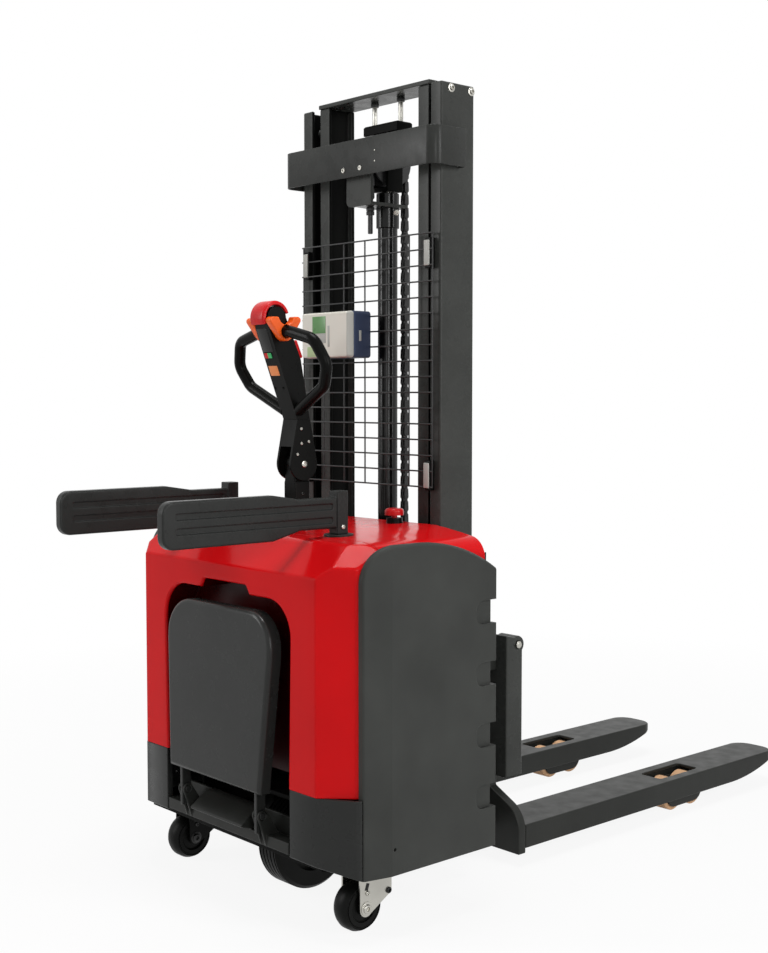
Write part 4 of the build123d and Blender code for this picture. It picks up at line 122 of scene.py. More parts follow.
class StackerSizes(PropertyGroup):
    """Sizes of the pieces that are finer than their CAD nodes."""

    wire_radius: length("Wire radius", "Wire of the guard", 1.9 * MM)
    wire_columns: IntProperty(name="Columns", description="Gaps across the wire guard", default=6, min=1)
    wire_rows: IntProperty(name="Rows", description="Gaps up the wire guard", default=16, min=1)
    cover_reach: length("Cover reach", "How far the mast cover stands behind its node", 18 * MM)
    cover_bend: length("Cover bend", "Radius of the mast cover's corners", 28 * MM)
    chain_pitch: length("Chain pitch", "Distance between the chain's pins", 15.875 * MM)
    chain_plate: length("Chain plate", "Thickness of a chain plate", 2.0 * MM)
    chain_pin: length("Chain pin", "Radius of a chain pin", 2.6 * MM)


class StackerStage(PropertyGroup):
    """Camera, lamps and floor."""

    lens: FloatProperty(name="Lens", description="Focal length", default=52.41, min=1.0, unit="CAMERA")
    camera_place: FloatVectorProperty(
        name="Camera",
        description="Place of the camera",
        default=(2.545, -2.540, 1.150),
        size=3,
        unit="LENGTH",
    )
    turn: FloatProperty(
        name="Turn", description="Azimuth of the view", default=radians(48.17), subtype="ANGLE"
    )
    tilt: FloatProperty(
        name="Tilt", description="How far the view looks down", default=radians(3.344), subtype="ANGLE"
    )
    lamp_power: FloatProperty(
        name="Lamps", description="Power of the lamps, all together", default=1.0, min=0.0
    )


def clear_selection():
    """Leave edit mode with nothing selected."""
    if bpy.context.object and bpy.context.object.mode != "OBJECT":
        bpy.ops.object.mode_set(mode="OBJECT")
    bpy.ops.object.select_all(action="DESELECT")


def take(obj):
    """Make a piece the only selected one."""
    clear_selection()
    obj.select_set(True)
    bpy.context.view_layer.objects.active = obj
    return obj


def edit(obj):
    """Enter edit mode with the whole piece selected."""
    take(obj)
    bpy.ops.object.mode_set(mode="EDIT")
    bpy.ops.mesh.select_all(action="SELECT")


def pick(obj, test, kind="FACE"):
    """Enter edit mode with the vertices, edges or faces selected whose middle passes a test."""
    take(obj)
    bpy.ops.object.mode_set(mode="EDIT")
    bpy.ops.mesh.select_mode(type=kind)
    bpy.ops.mesh.select_all(action="DESELECT")
    leave()
    mesh = obj.data
    if kind == "FACE":
        for face in mesh.polygons:
            face.select = test(face.center, face.normal)
    elif kind == "EDGE":
        for edge in mesh.edges:
            ends = [mesh.vertices[v].co for v in edge.vertices]
            edge.select = test((ends[0] + ends[1]) / 2, ends[1] - ends[0])
    else:
        for vertex in mesh.vertices:
            vertex.select = test(vertex.co, vertex.normal)
    bpy.ops.object.mode_set(mode="EDIT")


def leave():
    """Return to object mode."""
    bpy.ops.object.mode_set(mode="OBJECT")


def modify(obj, kind, **values):
    """Add a modifier and apply it."""
    take(obj)
    modifier = obj.modifiers.new(kind.title(), kind)
    for key, value in values.items():
        setattr(modifier, key, value)
    bpy.ops.object.modifier_apply(modifier=modifier.name)
    return obj


def repeat(obj, count, step):
    """Copy a piece in a row within its own mesh."""
    return modify(
        obj,
        "ARRAY",
        count=count,
        use_relative_offset=False,
        use_constant_offset=True,
        constant_offset_displace=step,
    )


def settle(obj):
    """Put a piece's place into its mesh."""
    take(obj)
    bpy.ops.object.transform_apply(location=True, rotation=True, scale=True)
    return obj


def copy_of(obj):
    """Copy of a piece with its own mesh."""
    twin = obj.copy()
    twin.data = obj.data.copy()
    bpy.context.scene.collection.objects.link(twin)
    return twin


def join(pieces):
    """Join pieces into the first."""
    clear_selection()
    for piece in pieces:
        piece.select_set(True)
    bpy.context.view_layer.objects.active = pieces[0]
    bpy.ops.object.join()
    return pieces[0]


def finished(obj, name, body, finish, nodes=(), smooth=40):
    """Name a piece, give it its finish and let it ride on its body."""
    obj.name = name
    obj.data.name = name
    take(obj)
    bpy.ops.object.shade_smooth_by_angle(angle=radians(smooth))
    obj.data.materials.clear()
    obj.data.materials.append(bpy.data.materials[finish])
    if nodes:
        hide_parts(*nodes)
    if body:
        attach(obj, body)
    return obj


def repaint(obj, finish, test):
    """Give a second finish to the faces whose middle and normal pass a test."""
    obj.data.materials.append(bpy.data.materials[finish])
    for face in obj.data.polygons:
        if test(face.center, face.normal):
            face.material_index = len(obj.data.materials) - 1


def turned(profile, place, along=(0, 0, 1), sides=24, edge=0.0):
    """Turned piece: a disc drawn out along its axis through pairs of radius and height, in millimetres."""
    clear_selection()
    bpy.ops.mesh.primitive_circle_add(
        vertices=sides, radius=profile[0][0] * MM, fill_type="NGON", location=(0, 0, profile[0][1] * MM)
    )
    piece = settle(bpy.context.object)
    edit(piece)
    for (radius, height), (next_radius, next_height) in zip(profile, profile[1:]):
        rise = (next_height - height) * MM
        bpy.ops.mesh.extrude_region_move(TRANSFORM_OT_translate={"value": (0, 0, rise)})
        share = next_radius / radius
        bpy.ops.transform.resize(value=(share, share, 1), center_override=(0, 0, next_height * MM))
    bpy.ops.mesh.select_all(action="SELECT")
    bpy.ops.mesh.normals_make_consistent(inside=False)
    leave()
    if edge:
        modify(piece, "BEVEL", width=edge * MM, segments=2, limit_method="ANGLE", angle_limit=radians(35))
    piece.rotation_euler = Vector(along).to_track_quat("Z", "Y").to_euler()
    piece.location = place
    return settle(piece)


def screw(place, along, radius, height, sides=24):
    """Screw head with a socket in it, in millimetres, standing on a surface."""
    profile = (
        (radius, 0),
        (radius, 0.7 * height),
        (0.82 * radius, height),
        (0.5 * radius, height),
        (0.44 * radius, 0.35 * height),
    )
    return turned(profile, place, along, sides)


def plate(place, size, edge, turn=(0, 0, 0)):
    """Flat piece with rounded edges; its place and size in metres, its edge in millimetres."""
    clear_selection()
    bpy.ops.mesh.primitive_cube_add(size=1, location=place, rotation=turn)
    piece = bpy.context.object
    piece.scale = size
    settle(piece)
    return modify(piece, "BEVEL", width=edge * MM, segments=3)


def link(tree, source, output, target, socket):
    """Connect two nodes of a material."""
    tree.links.new(source.outputs[output], target.inputs[socket])


def span(tree, source, output, low, high, to_low, to_high):
    """Map one range of a value to another."""
    node = tree.nodes.new("ShaderNodeMapRange")
    for socket, value in zip(("From Min", "From Max", "To Min", "To Max"), (low, high, to_low, to_high)):
        node.inputs[socket].default_value = value
    link(tree, source, output, node, "Value")
    return node


def mixed(tree, factor, output, first, second):
    """Mix two colours, each given by value or by an earlier mix."""
    node = tree.nodes.new("ShaderNodeMix")
    node.data_type = "RGBA"
    tree.links.new(factor.outputs[output], node.inputs[0])
    for index, value in ((6, first), (7, second)):
        if isinstance(value, bpy.types.Node):
            tree.links.new(value.outputs[2], node.inputs[index])
        else:
            node.inputs[index].default_value = (*value, 1.0)
    return node


def finish(
    name,
    base,
    rough,
    metal=0.0,
    gloss=0.5,
    shade=0.15,
    grain=900,
    height=0.02,
    edge=1.2,
    wear=None,
    coat=0.0,
    speck=0.0,
):
    """Surface on object coordinates: broad shade, fine grain, softened edges and worn corners. The grain's
    height and the edges' radius are in millimetres."""
    material = bpy.data.materials.new(name)
    material.use_nodes = True
    material.diffuse_color = (*base, 1.0)
    tree = material.node_tree
    shader = tree.nodes["Principled BSDF"]
    shader.inputs["Metallic"].default_value = metal
    shader.inputs["Specular IOR Level"].default_value = gloss
    shader.inputs["Coat Weight"].default_value = coat
    shader.inputs["Coat Roughness"].default_value = 0.05
    place = tree.nodes.new("ShaderNodeTexCoord")

    def noise(scale, detail):
        texture = tree.nodes.new("ShaderNodeTexNoise")
        texture.inputs["Scale"].default_value = scale
        texture.inputs["Detail"].default_value = detail
        link(tree, place, "Object", texture, "Vector")
        return texture

    dark = tuple(c * (1 - shade) for c in base)
    light = tuple(min(1.0, c * (1 + shade)) for c in base)
    tone = mixed(tree, span(tree, noise(6, 3), "Fac", 0.3, 0.7, 0, 1), "Result", dark, light)
    fine = noise(grain, 2)
    if speck:
        flecks = span(tree, fine, "Fac", 0.62, 0.75, 0, speck)
        tone = mixed(tree, flecks, "Result", tone, tuple(min(1.0, c * 2 + 0.03) for c in base))
    rounded = tree.nodes.new("ShaderNodeBevel")
    rounded.samples = 4
    rounded.inputs["Radius"].default_value = edge * MM
    if wear:
        surface = tree.nodes.new("ShaderNodeNewGeometry")
        turn = tree.nodes.new("ShaderNodeVectorMath")
        turn.operation = "DOT_PRODUCT"
        link(tree, rounded, "Normal", turn, 0)
        link(tree, surface, "Normal", turn, 1)
        rubbed = span(tree, turn, "Value", 0.985, 0.86, 0, 1)
        patchy = tree.nodes.new("ShaderNodeMath")
        patchy.operation = "MULTIPLY"
        link(tree, rubbed, "Result", patchy, 0)
        link(tree, span(tree, noise(35, 4), "Fac", 0.42, 0.62, 0, 0.7), "Result", patchy, 1)
        tone = mixed(tree, patchy, "Value", tone, wear)
    tree.links.new(tone.outputs[2], shader.inputs["Base Color"])
    matt = span(tree, noise(28, 4), "Fac", 0.3, 0.7, max(0.03, rough - 0.06), min(1.0, rough + 0.06))
    link(tree, matt, "Result", shader, "Roughness")
    bump = tree.nodes.new("ShaderNodeBump")
    bump.inputs["Strength"].default_value = 0.6
    bump.inputs["Distance"].default_value = height * MM
    link(tree, fine, "Fac", bump, "Height")
    link(tree, rounded, "Normal", bump, "Normal")
    link(tree, bump, "Normal", shader, "Normal")
    return material


NODE_FINISHES = {
    "hood_red": "rear_hood front_hood",
    "panel_coat": "side_panels",
    "mast_coat": "outer_rails mast_cover inner_rails mast_top_plate carriage_uprights cylinder_bracket",
    "mast_black": "crosshead chassis_frame",
    "fork_coat": (
        "base_frame carriage_frame fork_left fork_right platform_bracket guard_sockets bogie_left bogie_right"
    ),
    "gloss_black": "lift_cylinder",
    "moulded_black": "tiller_head tiller_yoke steering_turret caster_fork_left estop_base batteries",
    "soft_black": "tiller_grips",
    "guard_black": "guard_arm_left guard_arm_right",
    "skirt_black": "rear_skirts",
    "platform_black": "platform",
    "tyre_black": "drive_wheel caster_wheel_left caster_wheel_right",
    "plated_steel": "mast_fasteners hanger_rods piston_rod tie_shaft caster_fork_right",
    "oiled_steel": (
        "chain_pulley chain_front chain_rear outer_guide_rollers inner_guide_rollers "
        "carriage_rollers_upper carriage_rollers_lower"
    ),
    "cast_grey": "drive_motor pump_unit motor_controller",
    "roller_tan": (
        "load_roller_left_front load_roller_left_rear load_roller_right_front load_roller_right_rear"
    ),
    "charger_ivory": "charger_cover",
    "charger_navy": "charger_base",
    "throttle_orange": "throttle",
    "signal_red": "reverse_cap estop_button lift_rocker",
    "wire_black": "guard_mesh",
}
FINISH_OF = {node: name for name, nodes in NODE_FINISHES.items() for node in nodes.split()}
# Share of the hood red kept on the recess's inner walls: painted shade that darkens the recess.
RECESS_SHADE = 0.07
# Share of the charcoal kept on the mast cover's band: painted shade that darkens the band against the rails.
BAND_SHADE = 0.72


class STACKER_OT_finishes(Operator):
    """Make the finishes and give each CAD node its own"""

    bl_idname = "stacker.finishes"
    bl_label = "Finishes"

    def execute(self, context):
        c = context.scene.stacker_finishes
        painted_recess_shade = tuple(RECESS_SHADE * v for v in c.hood_red)
        # The charcoal darkened as painted shade for the mast cover's band.
        band = tuple(BAND_SHADE * v for v in c.charcoal)
        painted = {"gloss": 0.06, "shade": 0.04, "grain": 300, "coat": 0.05}
        textured = {"gloss": 0.10, "grain": 1500, "wear": c.worn, "speck": 0.3}
        coated = {"gloss": 0.12, "grain": 1100, "wear": c.worn, "speck": 0.12}
        finish("hood_red", c.hood_red, 0.18, height=0.00005, edge=2.0, **painted)
        # Painted shade: the hood red darkened for the inner walls of the rear hood's recess.
        finish("recess_painted_shade", painted_recess_shade, 0.30, gloss=0.10, grain=300, height=0.001)
        finish("panel_coat", c.charcoal, 0.44, height=0.05, edge=2.0, **textured)
        finish("mast_coat", c.charcoal, 0.28, height=0.02, edge=1.6, **coated)
        # Painted shade: the mast coat darkened for the cover band, which faces the rear.
        finish("cover_painted_shade", band, 0.28, height=0.02, edge=1.6, **coated)
        finish("mast_black", c.black, 0.34, gloss=0.03, grain=1100, height=0.02, edge=1.6)
        finish("fork_coat", c.fork_coat, 0.36, height=0.012, edge=2.0, **coated)
        finish("gloss_black", c.black, 0.20, gloss=0.25, grain=500, height=0.01, edge=1.0)
        finish("moulded_black", c.black, 0.32, gloss=0.08, grain=1400, height=0.03, edge=1.5)
        finish("soft_black", c.black, 0.24, gloss=0.06, grain=1800, height=0.03, edge=2.0, shade=0.25)
        finish("guard_black", c.rubber, 0.30, gloss=0.14, grain=1600, height=0.03, edge=2.0, shade=0.1)
        finish("skirt_black", c.rubber, 0.30, gloss=0.16, grain=1200, height=0.02, edge=2.0, shade=0.1)
        finish("platform_black", c.rubber, 0.24, gloss=0.20, grain=900, height=0.01, edge=2.5, shade=0.1)
        finish("tyre_black", c.black, 0.42, gloss=0.09, grain=800, height=0.05, edge=1.5, shade=0.3)
        finish("wire_black", c.black, 0.40, gloss=0.02, grain=900, height=0.02, edge=0.5)
        finish("plated_steel", c.steel, 0.30, metal=1.0, grain=400, height=0.01, edge=0.6, shade=0.2)
        finish("oiled_steel", c.dark_steel, 0.36, metal=0.3, gloss=0.4, grain=500, edge=0.5, shade=0.3)
        finish("cast_grey", c.cast_grey, 0.5, metal=0.8, grain=500, height=0.1, edge=1.0)
        finish("roller_tan", c.tan, 0.45, grain=500, height=0.03, edge=1.0)
        finish("charger_ivory", c.ivory, 0.38, gloss=0.2, shade=0.04, grain=1300, height=0.03, edge=1.5)
        finish("charger_navy", c.navy, 0.40, gloss=0.08, shade=0.12, grain=1300, height=0.03, edge=1.5)
        finish("charger_grey", c.charger_grey, 0.42, gloss=0.3, shade=0.05, grain=1300, edge=0.6)
        finish("display_green", c.display, 0.30, gloss=0.3, shade=0.10, grain=1500, height=0.01, edge=0.5)
        finish("pale_green", c.pale_green, 0.36, gloss=0.3, shade=0.08, grain=1500, height=0.01, edge=0.5)
        finish("throttle_orange", c.orange, 0.34, gloss=0.3, shade=0.06, grain=1200, height=0.02, edge=1.2)
        finish("patch_orange", c.patch, 0.42, gloss=0.25, shade=0.05, grain=1600, height=0.01, edge=0.4)
        finish("signal_red", c.signal_red, 0.26, gloss=0.18, shade=0.06, grain=900, height=0.0005, edge=1.2)
        finish("signal_green", c.signal_green, 0.30, gloss=0.35, shade=0.06, grain=900, height=0.01, edge=0.6)
        for node, name in FINISH_OF.items():
            mesh = NODES[node].data
            mesh.materials.clear()
            mesh.materials.append(bpy.data.materials[name])
        return {"FINISHED"}


ROUNDED_EDGES = (
    (4.0, "outer_rails inner_rails carriage_uprights"),
    (3.0, "carriage_frame throttle steering_turret charger_base"),
    (
        2.0,
        "crosshead platform_bracket fork_left fork_right rear_skirts charger_cover guard_arm_left "
        "guard_arm_right platform",
    ),
    (1.5, "mast_top_plate lift_cylinder bogie_left bogie_right"),
    (1.0, "rear_hood front_hood piston_rod lift_rocker chain_pulley"),
)
RECESS_HALF_WIDTH = 246 * MM
RECESS_TOP_Z = 732 * MM
RECESS_DEPTHS = (8 * MM, 90 * MM)
SIDEWAYS = 0.6


class STACKER_OT_rounded_edges(Operator):
    """Round the edges of the rails, forks, covers and castings, on copies that stand for their nodes"""

    bl_idname = "stacker.rounded_edges"
    bl_label = "Rounded edges"

    def rounded(self, node, width):
        """Copy of a node with its edges rounded; the rocker is also parted between its two colours."""
        piece = bpy.data.objects.new(node + "_rounded", NODES[node].data.copy())
        bpy.context.scene.collection.objects.link(piece)
        edit(piece)
        bpy.ops.mesh.remove_doubles(threshold=0.01 * MM)
        bpy.ops.mesh.dissolve_limited(angle_limit=radians(0.3))
        leave()
        if node == "lift_rocker":
            edit(piece)
            middle = sum(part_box(node), Vector()) / 2
            bpy.ops.mesh.bisect(plane_co=middle, plane_no=(1, 0, 0))
            leave()
        modify(
            piece,
            "BEVEL",
            width=width * MM,
            segments=2,
            limit_method="ANGLE",
            angle_limit=radians(40),
            use_clamp_overlap=False,
        )
        finished(piece, node + "_rounded", NODES[node]["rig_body"], FINISH_OF[node], (node,))
        return modify(piece, "WEIGHTED_NORMAL", keep_sharp=True)

    def execute(self, context):
        made = {}
        for width, nodes in ROUNDED_EDGES:
            for node in nodes.split():
                made[node] = self.rounded(node, width)
        rocker_x = sum(corner.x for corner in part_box("lift_rocker")) / 2
        repaint(made["lift_rocker"], "signal_green", lambda spot, normal: spot.x > rocker_x)
        rear_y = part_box("rear_hood")[0].y

        def in_shaded_recess(spot, normal):
            deep = RECESS_DEPTHS[0] < spot.y - rear_y < RECESS_DEPTHS[1]
            return deep and abs(spot.x) < RECESS_HALF_WIDTH and spot.z < RECESS_TOP_Z

        def inwards(spot, normal):
            return normal.x * spot.x < -SIDEWAYS * abs(spot.x)

        # The recess's inner walls take the hood red darkened as painted shade.
        repaint(made["rear_hood"], "recess_painted_shade", in_shaded_recess)
        # Partly black paint, partly painted shade: the sideways faces of the inner rails and the inner faces
        # of the outer rails are black, for the shade inside the mast.
        repaint(made["inner_rails"], "mast_black", lambda spot, normal: abs(normal.x) > SIDEWAYS)
        repaint(made["outer_rails"], "mast_black", inwards)
        # Painted shade: the cover's faces that look to the side, such as its chamfer, take the darker charger
        # grey.
        repaint(made["charger_cover"], "charger_grey", lambda spot, normal: normal.x > 0.4)
        return {"FINISHED"}


WIRE_MARGIN = 3 * MM
WIRE_DEPTH = 1.6 * MM
CLIP_X = 222 * MM
CLIP_SIZE = (17 * MM, 4 * MM, 58 * MM)
CLIP_PROUD = 2.6 * MM
CLIP_FROM_LOW = 30 * MM
CLIP_FROM_HIGH = 48 * MM
BLOCK_WIDTH = 18 * MM
BLOCK_HEIGHT = 70 * MM


class STACKER_OT_wire_guard(Operator):
    """Weld the wire guard from round wires, with its clips on the mast rails"""

    bl_idname = "stacker.wire_guard"
    bl_label = "Wire guard"

    def execute(self, context):
        sizes = context.scene.stacker_sizes
        radius = sizes.wire_radius
        low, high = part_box("guard_mesh")
        first_x, first_z = low.x + WIRE_MARGIN, low.z + WIRE_MARGIN
        wide = high.x - low.x - 2 * WIRE_MARGIN
        tall = high.z - low.z - 2 * WIRE_MARGIN
        layer = 0.8 * radius
        middle = Vector(((low.x + high.x) / 2, low.y + WIRE_DEPTH, (low.z + high.z) / 2))
        columns, rows = sizes.wire_columns, sizes.wire_rows
        wires = []
        for turn, run, step, count, place in (
            (0, tall, (wide / columns, 0, 0), columns + 1, (first_x, middle.y + layer, middle.z)),
            (pi / 2, wide, (0, 0, tall / rows), rows + 1, (middle.x, middle.y - layer, first_z)),
        ):
            clear_selection()
            bpy.ops.mesh.primitive_cylinder_add(
                vertices=12, radius=radius, depth=run + 2 * radius, location=place, rotation=(0, turn, 0)
            )
            wire = settle(bpy.context.object)
            ends = run / 2 + radius * 0.9

            def at_end(spot, along):
                reach = spot.x - middle.x if turn else spot.z - middle.z
                return abs(reach) > ends

            pick(wire, at_end, "EDGE")
            bpy.ops.mesh.bevel(offset=radius * 0.5, segments=2)
            leave()
            wires.append(repeat(wire, count, step))
        guard = join(wires)
        finished(guard, "wire_guard", "chassis", "wire_black", ("guard_mesh",))
        block_size = (BLOCK_WIDTH, high.y - low.y, BLOCK_HEIGHT)
        clips, blocks = [], []
        for side in (-1, 1):
            for z in (low.z + CLIP_FROM_LOW, high.z - CLIP_FROM_HIGH):
                clips.append(plate((side * CLIP_X, low.y - CLIP_PROUD, z), CLIP_SIZE, 1.8))
                blocks.append(plate((side * CLIP_X, (low.y + high.y) / 2, z), block_size, 1.5))
        finished(join(blocks), "guard_blocks", "chassis", "moulded_black")
        finished(join(clips), "guard_clips", "chassis", "charger_grey")
        return {"FINISHED"}


LINK_HEAD = 6.4 * MM
LINK_WAIST = 0.7
CHAIN_SETBACK = 6.6 * MM
PIN_PROUD = 0.6 * MM


class STACKER_OT_chains(Operator):
    """Link the lifting chain from plates and pins, over the pulley and down both runs"""

    bl_idname = "stacker.chains"
    bl_label = "Chains"

    def two_links(self, sizes, half_width):
        """Two pitches of chain, standing up at the origin: wide plates, narrow plates and two pins."""
        pitch, thick = sizes.chain_pitch, sizes.chain_plate

        def on_side(spot, along):
            return abs(along.z) > 0.8 * pitch and abs(spot.y) > 0.9 * LINK_HEAD

        pieces = []
        for rise, xs in (
            (0, (-half_width + thick / 2, half_width - thick / 2, 0)),
            (pitch, (-half_width / 2, half_width / 2)),
        ):
            for x in xs:
                clear_selection()
                bpy.ops.mesh.primitive_cylinder_add(
                    vertices=12, radius=LINK_HEAD, depth=thick, location=(x, 0, rise), rotation=(0, pi / 2, 0)
                )
                piece = settle(bpy.context.object)
                pick(piece, lambda spot, normal: spot.z > rise + 0.1 * MM, "VERT")
                bpy.ops.transform.translate(value=(0, 0, pitch))
                leave()
                pick(piece, on_side, "EDGE")
                bpy.ops.mesh.subdivide(number_cuts=1)
                leave()
                waist = rise + pitch / 2
                pick(piece, lambda spot, normal: abs(spot.z - waist) < 0.1 * MM, "VERT")
                bpy.ops.transform.resize(value=(1, LINK_WAIST, 1), center_override=(x, 0, waist))
                leave()
                pieces.append(piece)
            clear_selection()
            bpy.ops.mesh.primitive_cylinder_add(
                vertices=10,
                radius=sizes.chain_pin,
                depth=2 * (half_width + PIN_PROUD),
                location=(0, 0, rise),
                rotation=(0, pi / 2, 0),
            )
            pin = settle(bpy.context.object)
            pick(pin, lambda spot, along: abs(spot.x) > half_width, "EDGE")
            bpy.ops.mesh.bevel(offset=0.5 * MM, segments=1)
            leave()
            pieces.append(pin)
        return join(pieces)

    def execute(self, context):
        sizes = context.scene.stacker_sizes
        low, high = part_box("chain_front")
        rear_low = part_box("chain_rear")[0]
        hub = sum(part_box("chain_pulley"), Vector()) / 2
        front_y = high.y - CHAIN_SETBACK
        reach = front_y - hub.y
        half_width = (high.x - low.x) / 2 - PIN_PROUD
        double = 2 * sizes.chain_pitch
        pattern = self.two_links(sizes, half_width)
        runs = []
        for y, foot in ((front_y, low.z), (hub.y - reach, rear_low.z)):
            run = copy_of(pattern)
            count = int((hub.z - foot) / double) + 1
            stretch = (hub.z - foot) / (count * double)
            repeat(run, count, (0, 0, double))
            run.data.transform(Matrix.Translation((0, y, foot)) @ Matrix.Diagonal((1, 1, stretch, 1)))
            runs.append(run)
        count = max(1, round(pi * reach / double))
        wrap = []
        for number in range(count):
            bent = copy_of(pattern)
            for vertex in bent.data.vertices:
                angle = (number * double + vertex.co.z) / (count * double) * pi
                radius = reach + vertex.co.y
                vertex.co = (vertex.co.x, hub.y + radius * cos(angle), hub.z + radius * sin(angle))
            wrap.append(bent)
        over = join(wrap)
        bpy.data.objects.remove(pattern)
        finished(over, "chain_over_pulley", "inner_mast", "oiled_steel", ("chain_front",), 30)
        finished(runs[0], "chain_to_carriage", None, "oiled_steel", (), 30)
        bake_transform(runs[0])
        finished(runs[1], "chain_to_anchor", None, "oiled_steel", ("chain_rear",), 30)
        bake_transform(runs[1])
        return {"FINISHED"}


COVER_SHEET = 3 * MM


class STACKER_OT_mast_cover(Operator):
    """Bend the cover band round the back of the mast, with a lip on each rail"""

    bl_idname = "stacker.mast_cover"
    bl_label = "Mast cover"

    def execute(self, context):
        sizes = context.scene.stacker_sizes
        low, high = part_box("mast_cover")
        rear_y = low.y - sizes.cover_reach
        tall = high.z - low.z
        clear_selection()
        bpy.ops.mesh.primitive_cube_add(size=1, location=(0, (high.y + rear_y) / 2, (low.z + high.z) / 2))
        band = bpy.context.object
        band.scale = (high.x - low.x, high.y - rear_y, tall)
        settle(band)
        pick(band, lambda spot, normal: normal.y > 0.5 or abs(normal.z) > 0.5)
        bpy.ops.mesh.delete(type="FACE")
        leave()
        pick(band, lambda spot, along: spot.y < rear_y + 1 * MM and abs(along.z) > 0.5 * tall, "EDGE")
        bpy.ops.mesh.bevel(offset=sizes.cover_bend, segments=8)
        leave()
        lip = high.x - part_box("outer_rails")[1].x
        for side in (-1, 1):

            def at_front(spot, along):
                return spot.y > high.y - 1 * MM and spot.x * side > 0 and abs(along.z) > 0.5 * tall

            pick(band, at_front, "EDGE")
            bpy.ops.mesh.extrude_region_move(TRANSFORM_OT_translate={"value": (-side * lip, 0, 0)})
            leave()
        modify(band, "SOLIDIFY", thickness=COVER_SHEET, offset=-1)
        modify(band, "BEVEL", width=0.8 * MM, segments=2, limit_method="ANGLE", angle_limit=radians(50))
        # The band takes the charcoal darkened by painted shade.
        finished(band, "cover_band", "chassis", "cover_painted_shade", ("mast_cover",))
        return {"FINISHED"}


COVER_SCREWS_X = (-38, 23)
COVER_SCREWS_UP = 18 * MM
COVER_DOTS_X = 75 * MM
COVER_DOTS_UP = (28, 53)
RAIL_BOLTS_Y = (-280.5, -216)
RAIL_BOLTS_DOWN = 13 * MM
ANCHOR_NUTS_UP = (45, 55)
HANGER_X = 47 * MM
PLUG_DOWN = 48 * MM


class STACKER_OT_mast_fittings(Operator):
    """Fit the screws of the mast, the chain's anchor, the hanger rods and the cylinder's vent plug"""

    bl_idname = "stacker.mast_fittings"
    bl_label = "Mast fittings"

    def execute(self, context):
        cover_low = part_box("mast_cover")[0]
        rails_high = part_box("outer_rails")[1]
        rear = (0, -1, 0)
        cover_y = cover_low.y - context.scene.stacker_sizes.cover_reach
        screws_z = cover_low.z + COVER_SCREWS_UP
        screws = [screw((x * MM, cover_y, screws_z), rear, 6, 3) for x in COVER_SCREWS_X]
        for up in COVER_DOTS_UP:
            screws.append(screw((COVER_DOTS_X, cover_y, cover_low.z + up * MM), rear, 1.8, 0.8, 12))
        for side in (-1, 1):
            for y in RAIL_BOLTS_Y:
                place = (side * rails_high.x, y * MM, rails_high.z - RAIL_BOLTS_DOWN)
                screws.append(turned(((10, 0), (10, 1.6)), place, (side, 0, 0), 24, 0.4))
                screws.append(screw(place, (side, 0, 0), 6.5, 6))
        finished(join(screws), "mast_screws", "chassis", "plated_steel", ("mast_fasteners",))

        anchor_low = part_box("mast_fasteners")[0].z
        chain_low, chain_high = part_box("chain_rear")
        foot = ((chain_low.x + chain_high.x) / 2, (chain_low.y + chain_high.y) / 2, anchor_low)
        rise = (chain_low.z - anchor_low) / MM
        stud = turned(((4.5, 0), (6, 1.5), (6, rise)), foot)
        nuts = [
            turned(((10.5, 0), (10.5, 9)), (foot[0], foot[1], anchor_low + up * MM), sides=6, edge=0.8)
            for up in ANCHOR_NUTS_UP
        ]
        finished(join([stud, *nuts]), "chain_anchor", "chassis", "oiled_steel")

        rods_low, rods_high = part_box("hanger_rods")
        rods, nuts = [], []
        for side in (-1, 1):
            place = (side * HANGER_X, (rods_low.y + rods_high.y) / 2, rods_low.z)
            run = (rods_high.z - rods_low.z) / MM
            rods.append(turned(((6, 0), (6, run)), place, sides=20, edge=0.4))
            nuts.append(turned(((10.5, run - 11), (10.5, run - 0.5)), place, sides=6, edge=0.8))
        body = NODES["hanger_rods"]["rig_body"]
        finished(join(rods), "hanger_rod_pair", body, "plated_steel", ("hanger_rods",))
        finished(join(nuts), "hanger_nuts", body, "oiled_steel")

        gland_low, gland_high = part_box("lift_cylinder")
        place = (gland_high.x - 1 * MM, (gland_low.y + gland_high.y) / 2, gland_high.z - PLUG_DOWN)
        plug = turned(((7, 0), (7, 7), (4.5, 7), (4.5, 12)), place, (1, 0, 0), 6, 0.6)
        finished(plug, "vent_plug", "chassis", "charger_ivory")
        return {"FINISHED"}


HEAD_LEAN = radians(21)
HEAD_FOOT = Vector((0, -553.5, 1094)) * MM
HEAD_CROWN = Vector((0, -612, 1326)) * MM
CAP_RADIUS = 39 * MM
CAP_WALL = 9 * MM
CAP_WIDTH = 52 * MM
CAP_LEAN = HEAD_LEAN - radians(2)
CAP_ARC = radians(186)
CROWN_AHEAD = 4 * MM
CROWN_PROFILE = ((24, -25.5), (24, 25.5))
FIELD_X, FIELD_Z, FIELD_SIZE = -4 * MM, 1275 * MM, (38 * MM, 1.2 * MM, 56 * MM)
PATCH_X, PATCH_Z, PATCH_SIZE = -4.5 * MM, 1206.4 * MM, (33 * MM, 1.2 * MM, 24 * MM)
FACE_SCREWS_X, FACE_SCREWS_Z = (-20, 10), 1167 * MM
STRIP_LEAN = radians(24)
STRIP_PLACE = (0, -548 * MM, 1254.5 * MM)
STRIP_SIZE = (40 * MM, 18 * MM, 44 * MM)
# Y, Z and radius of the screws on each cheek of the yoke, in millimetres.
YOKE_SCREWS = (
    (-543, 1073, 3.4),
    (-542, 1039, 3.4),
    (-521, 1043, 3.4),
    (-554, 1014, 3.4),
    (-534, 991, 7.5),
)
POST_SCREW = Vector((21, -534.5, 922)) * MM


def on_control_face(x, z):
    """Place on the leaning control face of the tiller head, in metres."""
    return (x, HEAD_FOOT.y - (z - HEAD_FOOT.z) * tan(HEAD_LEAN), z)


